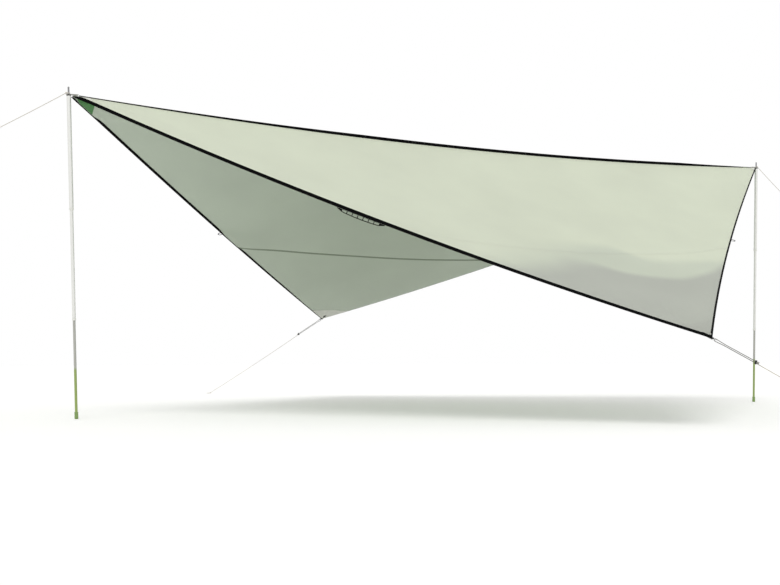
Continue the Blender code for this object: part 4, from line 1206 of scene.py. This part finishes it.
class TARP_OT_poles(bpy.types.Operator):
    """Telescopic poles: tubes, end rings, plugs, pins and feet"""
    bl_idname = "tarp.poles"
    bl_label = "Poles"

    def execute(self, context):
        pole = context.scene.tarp_pole
        bright = shared(metal, "drawn_aluminium", pole.metal, 0.36, 0.55, 0.08)
        # The lower tubes carry a painted green reflection of grass.
        enamel = shared(enamelled_tube, "enamelled_aluminium", pole)
        white = shared(moulded, "natural_nylon", srgb("#F2F2EC"), 0.45)
        tubes = (
            ("upper", pole.upper_diameter, UPPER_JOINT, CAP_TOP - CAP_FLANGE - FIT_GAP, bright, "canopy"),
            ("middle", pole.middle_diameter, LOWER_JOINT, UPPER_JOINT + TUBE_OVERLAP, bright,
             "{}_middle_section"),
            ("lower", pole.lower_diameter, 0.0123, LOWER_JOINT + TUBE_OVERLAP, enamel, "{}_lower_section"),
        )
        for end in ENDS:
            matrix = pole_matrix(end)
            for name, outer, bottom, top, material, body in tubes:
                span = (bottom, top)
                self.tube(f"{end}_{name}", outer / 2, pole.wall, span, matrix, material, body.format(end))
            self.head(end, pole, matrix)
            for (name, outer, joint, _, _, body), (_, inner, *_) in zip(tubes, tubes[1:]):
                self.collar(f"{end}_{name}", outer / 2, inner / 2, joint, matrix, white, body.format(end))
            self.foot(end, pole, matrix)
            for level in ("middle", "lower"):
                for part, material in (("sleeve", white), ("stud", black_nylon())):
                    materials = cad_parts[f"{end}_{level}_lock_{part}"].data.materials
                    materials.clear()
                    materials.append(material)
        return {"FINISHED"}

    def tube(self, name, outer, wall, span, matrix, material, body):
        """Tube between two heights, with its edges broken."""
        inner, soft, (bottom, top) = outer - wall, 0.0003, span
        profile = [(outer - soft, bottom), (outer, bottom + soft)]
        profile += [(outer, height) for height in spaced(bottom, top, 8)[1:-1]]
        profile += [(outer, top - soft), (outer - soft, top), (inner + soft, top), (inner, top - soft),
                    (inner, bottom + soft), (inner + soft, bottom), (outer - soft, bottom)]
        obj = turned(profile, matrix, TURNED_SIDES)
        dress(obj, f"{name}_pole_tube", material, f"{name}_tube", body)

    def collar(self, name, outer, inner, joint, matrix, material, body):
        """Nylon ring with a groove, at the lower end of a tube."""
        wide, bore = outer + 0.0012, inner + FIT_GAP
        low, high = joint - 0.014, joint - FIT_GAP
        profile = [(bore, low), (wide - 0.0012, low), (wide, low + 0.0012), (wide, low + 0.0040),
                   (wide - 0.0006, low + 0.0048), (wide - 0.0006, low + 0.0066), (wide, low + 0.0074),
                   (wide, high - 0.0008), (wide - 0.0008, high), (bore, high), (bore, low)]
        obj = turned(profile, matrix, TURNED_SIDES)
        dress(obj, f"{name}_collar", material, f"{name}_end_ring", body)

    def head(self, end, pole, matrix):
        """Plug in the top of a pole, and the spike that it holds."""
        steel = shared(metal, "turned_steel", srgb("#8F8F90"), 0.30, 1.0, 0.06)
        radius, flange, base = pole.upper_diameter / 2, CAP_TOP - CAP_FLANGE, CAP_TOP - CAP_DEPTH
        stem, bore = radius - pole.wall - FIT_GAP, SPIKE_RADIUS + FIT_GAP
        profile = [(bore, base), (stem - 0.001, base), (stem, base + 0.001), (stem, flange), (radius, flange),
                   (radius, flange + 0.0006), (radius, CAP_TOP - 0.0014), (radius - 0.0004, CAP_TOP - 0.0004),
                   (radius - 0.0016, CAP_TOP), (bore, CAP_TOP), (bore, base)]
        plug = turned(profile, matrix, TURNED_SIDES)
        dress(plug, f"{end}_pole_plug", black_nylon(), f"{end}_pole_cap")
        radius, dome = SPIKE_RADIUS, POLE_LENGTH + SPIKE_LENGTH - SPIKE_RADIUS
        profile = [(0.0, base), (radius - 0.0005, base), (radius, base + 0.0005), (radius, dome - 0.012),
                   (radius * 0.93, dome - 0.010), (radius * 0.93, dome - 0.008), (radius, dome - 0.006)]
        profile += [(radius * math.cos(a), dome + radius * math.sin(a)) for a in spaced(0.0, math.pi / 2, 8)[:-1]]
        profile.append((0.0, dome + radius))
        dress(turned(profile, matrix, 32), f"{end}_pole_spike", steel, f"{end}_pole_pin")

    def foot(self, end, pole, matrix):
        """Rubber foot with grooves round it."""
        # The foot's green is the same painted reflection of grass as on the lower tube.
        green = shared(moulded, "green_rubber", pole.enamel, 0.85)
        pocket, low, cut = pole.lower_diameter / 2 + FIT_GAP, 0.0008, 0.0008
        outer = pocket + 0.0028
        profile = [(0.0, 0.012), (pocket, 0.012), (pocket, 0.042), (outer - cut, 0.042), (outer, 0.0412)]
        for height in (0.034, 0.026):
            profile += [(outer, height), (outer - cut, height - 0.0005), (outer - cut, height - 0.0025),
                        (outer, height - 0.003)]
        profile += [(outer, low + 0.002), (outer - 0.0012, low), (0.0, low)]
        dress(turned(profile, matrix, 40), f"{end}_rubber_foot", green, f"{end}_foot",
              f"{end}_lower_section")


class TARP_OT_ridge_guys(bpy.types.Operator):
    """Guy lines from the pins at the ridge's ends, each tied round its pin and looped at its far end"""
    bl_idname = "tarp.ridge_guys"
    bl_label = "Ridge guy lines"

    def execute(self, context):
        guy = context.scene.tarp_guy
        pale = shared(braid, "pale_braid", (guy.pale,))
        thick, lump = guy.cord, KNOT_RADIUS
        height = POLE_LENGTH + GROMMET_TOP + FIT_GAP + lump
        major = SPIKE_RADIUS + thick / 2 + FIT_GAP
        for end, (slope, length) in RIDGE_GUYS.items():
            sign, pole, tilt = END_SIGN[end], pole_matrix(end), math.radians(slope)
            pull = Vector((sign * math.cos(tilt), 0.0, -math.sin(tilt)))
            first = pole @ Vector((sign * (major + lump), 0.0, height))
            last = first + pull * length
            lift = UP * thick * 0.5
            round_pin = [pole @ p for p in arc(UP * height, Vector((sign, 0.0, 0.0)), LEVEL, major, 20, 340)]
            centre = last + pull * (END_LOOP_RADIUS + lump)
            round_end = arc(centre, pull, pull.cross(LEVEL), END_LOOP_RADIUS, 200, 520)
            route = [first + lift] + round_pin + [first - lift + pull * 0.002]
            route += sagging_run(first + pull * 0.010, last - pull * 0.008, 8)
            route += round_end + [last + pull * 0.002]
            line = smooth_line(route, 0.005)
            cord = dress(tube_along(line, thick), f"{end}_guy_line", pale, f"{end}_guy", smooth=80.0)
            knots = [knot_lump(spot, pull, thick, lump + 0.0006, pale, f"{end}_{name}_hitch")
                     for spot, name in ((first, "pin"), (last, "end"))]
        return {"FINISHED"}


class TARP_OT_corner_guys(bpy.types.Operator):
    """Guy lines of the low corners, doubled through the ring to a slider, then single to a ground loop"""
    bl_idname = "tarp.corner_guys"
    bl_label = "Corner guy lines"

    def execute(self, context):
        guy = context.scene.tarp_guy
        thick, lump, slope = guy.cord, KNOT_RADIUS, math.radians(CORNER_GUY_SLOPE)
        for side, (skew, double) in CORNER_GUYS.items():
            skew = math.radians(skew)
            tip, _, outward, _ = corner_axes(side)
            level = Vector((-math.sin(skew), SLOPE_SIGN[side] * math.cos(skew), 0.0))
            pull = level * math.cos(slope) - UP * math.sin(slope)
            over = level * math.sin(slope) + UP * math.cos(slope)
            bend = tip + outward * RING_SIZE[1] + pull * (HAIRPIN_RADIUS - thick / 2 - RING_WIRE_RADIUS - 0.0008)
            fade = ((bend + pull * double).y, (bend + pull * (double + 0.06)).y)
            # The doubled part is painted grey as shade, fading to the pale braid past the slider.
            material = braid(f"{side}_guy_braid", (guy.painted_shade_grey, guy.pale), fade)
            upper, lower = bend + over * STRAND_OFFSET, bend - over * STRAND_OFFSET
            doubled = spaced(0.070, double, 4)

            knot_centre = lower + pull * ((lower.z - lump) / math.sin(slope))
            flat = Vector((pull.x, pull.y, 0.0)).normalized()
            beside = flat.cross(UP)
            loop_centre = knot_centre + flat * (lump / 2 + GROUND_LOOP_RADIUS)
            loop_centre.z = thick / 2
            route = arc(bend, pull, over, HAIRPIN_RADIUS, 180, 270, 6)
            route += [lower + pull * reach for reach in doubled]
            route += sagging_run(lower + pull * (double + 0.02), knot_centre - pull * 0.008, 8)
            round_end = arc(loop_centre, flat, beside, GROUND_LOOP_RADIUS, -160, 160)
            route += [knot_centre - beside * 0.0012] + round_end
            line = smooth_line(route + [knot_centre + beside * 0.0012 + flat * 0.001], 0.006)
            main = tube_along(line, thick)
            dress(main, f"{side}_guy_line", material, f"{side}_guy {side}_ground_loop", smooth=80.0)

            tail = double + 0.0045 + 0.008
            route = arc(bend, pull, over, HAIRPIN_RADIUS, 180, 90, 6)
            back_line = smooth_line(route + [upper + pull * reach for reach in doubled + [tail]], 0.006)
            returned = tube_along(back_line, thick)
            dress(returned, f"{side}_guy_return", material, smooth=80.0)

            ground_knot = knot_lump(knot_centre, pull, thick, lump + 0.0003, material, f"{side}_ground_hitch")
            stop_centre = upper + pull * (tail + 0.003)
            stop_knot = knot_lump(stop_centre, pull, thick, lump, material, f"{side}_stop_knot")
            slider = self.slider(side, bend + pull * double, pull, over, thick)
        return {"FINISHED"}

    def slider(self, side, centre, pull, over, thick):
        """Moulded slider with a hole for each strand."""
        obj = block(((STRAND_OFFSET + thick / 2 + 0.0045) * 2, 0.010, 0.009))
        modify(obj, "BEVEL", width=0.0028, segments=5, limit_method="ANGLE")
        for offset in (-STRAND_OFFSET, STRAND_OFFSET):
            drill(obj, 32, thick / 2 + 0.0004, 0.03, offset)
        settle(obj, axes_matrix(over, pull.cross(over), pull, centre))
        recalculate(obj)
        return dress(obj, f"{side}_line_slider", black_nylon(), f"{side}_guy_slider",
                     f"{side}_slider")


class TARP_OT_stage(bpy.types.Operator):
    """Pale floor, soft light and the camera"""
    bl_idname = "tarp.stage"
    bl_label = "Stage"

    def execute(self, context):
        stage = context.scene.tarp_stage
        deselect()
        bpy.ops.mesh.primitive_plane_add(size=80.0, location=(0.0, 0.0, -0.0004))
        floor = bpy.context.object
        floor.name = "floor"
        made, tree = blank("matt_floor")
        path = node(tree, "LightPath").outputs
        # The floor glows a little for the camera alone, so that it is white and keeps the tarp's shadow.
        seen = maths(tree, "MAXIMUM", path["Is Camera Ray"], path["Is Transmission Ray"])
        glow = maths(tree, "MULTIPLY", seen, stage.glow)
        surface(made, {"Base Color": rgba(stage.floor), "Roughness": 0.9, "Emission Color": rgba(stage.floor),
                       "Emission Strength": glow})
        floor.data.materials.append(made)

        world = bpy.data.worlds.new("studio")
        context.scene.world = world
        world.use_nodes = True
        tree = world.node_tree
        tree.nodes.clear()
        path = node(tree, "LightPath").outputs
        seen = maths(tree, "MAXIMUM", path["Is Camera Ray"], path["Is Glossy Ray"])
        seen = maths(tree, "MAXIMUM", seen, path["Is Transmission Ray"])
        strength = ranged(tree, seen, 0.0, 1.0, stage.world_light)
        sky = node(tree, "Background", {"Color": (1.0, 1.0, 1.0, 1.0), "Strength": strength})
        node(tree, "OutputWorld", {"Surface": sky.outputs[0]}, is_active_output=True)

        lamp = bpy.data.lights.new("key", "SUN")
        lamp.energy = stage.key_power
        lamp.angle = math.radians(35.0)
        key = bpy.data.objects.new("key", lamp)
        key.rotation_euler = (math.radians(38.0), 0.0, math.radians(-35.0))
        context.scene.collection.objects.link(key)

        lens = bpy.data.cameras.new("camera")
        lens.lens = stage.lens
        lens.sensor_width = 36.0
        lens.clip_end = 200.0
        camera = bpy.data.objects.new("camera", lens)
        camera.location = CAMERA_PLACE
        camera.rotation_euler = (math.radians(90.0 + CAMERA_RISE), 0.0, math.radians(CAMERA_TURN))
        context.scene.collection.objects.link(camera)
        context.scene.camera = camera
        context.scene.view_settings.view_transform = "Standard"
        return {"FINISHED"}


class TARP_PT_panel(bpy.types.Panel):
    """Buttons that build the tarp piece by piece"""
    bl_label = "Camping Tarp"
    bl_idname = "TARP_PT_panel"
    bl_space_type = "VIEW_3D"
    bl_region_type = "UI"
    bl_category = "Tarp"

    def draw(self, context):
        for operator in OPERATORS:
            self.layout.operator(operator.bl_idname)
        for group in (context.scene.tarp_cloth, context.scene.tarp_pole, context.scene.tarp_guy,
                      context.scene.tarp_stage):
            box = self.layout.box()
            for name in group.__annotations__:
                box.prop(group, name)


OPERATORS = (TARP_OT_stage, TARP_OT_ridge_guys, TARP_OT_corner_guys, TARP_OT_cloth, TARP_OT_tapes,
             TARP_OT_patches, TARP_OT_corners, TARP_OT_eyelets, TARP_OT_loops, TARP_OT_poles)
GROUPS = {"tarp_cloth": TarpClothSettings, "tarp_pole": TarpPoleSettings, "tarp_guy": TarpGuySettings,
          "tarp_stage": TarpStageSettings}


def register():
    """Register the settings, the operators and the panel."""
    for name, group in GROUPS.items():
        bpy.utils.register_class(group)
        setattr(bpy.types.Scene, name, bpy.props.PointerProperty(type=group))
    for item in (*OPERATORS, TARP_PT_panel):
        bpy.utils.register_class(item)


def unregister():
    """Take away what register added."""
    for item in (TARP_PT_panel, *reversed(OPERATORS)):
        bpy.utils.unregister_class(item)
    for name, group in GROUPS.items():
        delattr(bpy.types.Scene, name)
        bpy.utils.unregister_class(group)


def declare_sheet():
    """List the names of the cloth and of all that is sewn to it; nothing reads the list."""
    names = ["canopy_cloth", "ridge_binding"]
    names += [f"{side}_{piece}" for piece in ("seam_strip", "corner_doubling") for side in SIDES]
    names += [f"{end}_{piece}" for piece in ("end_doubling", "end_facing") for end in ENDS]
    names += [f"{side}_{end}_binding" for side in SIDES for end in ENDS]


def main():
    """Build the tarp."""
    register()
    for operator in OPERATORS:
        getattr(bpy.ops.tarp, operator.bl_idname.split(".")[1])()
    declare_sheet()
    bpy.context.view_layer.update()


if __name__ == "__main__":
    main()
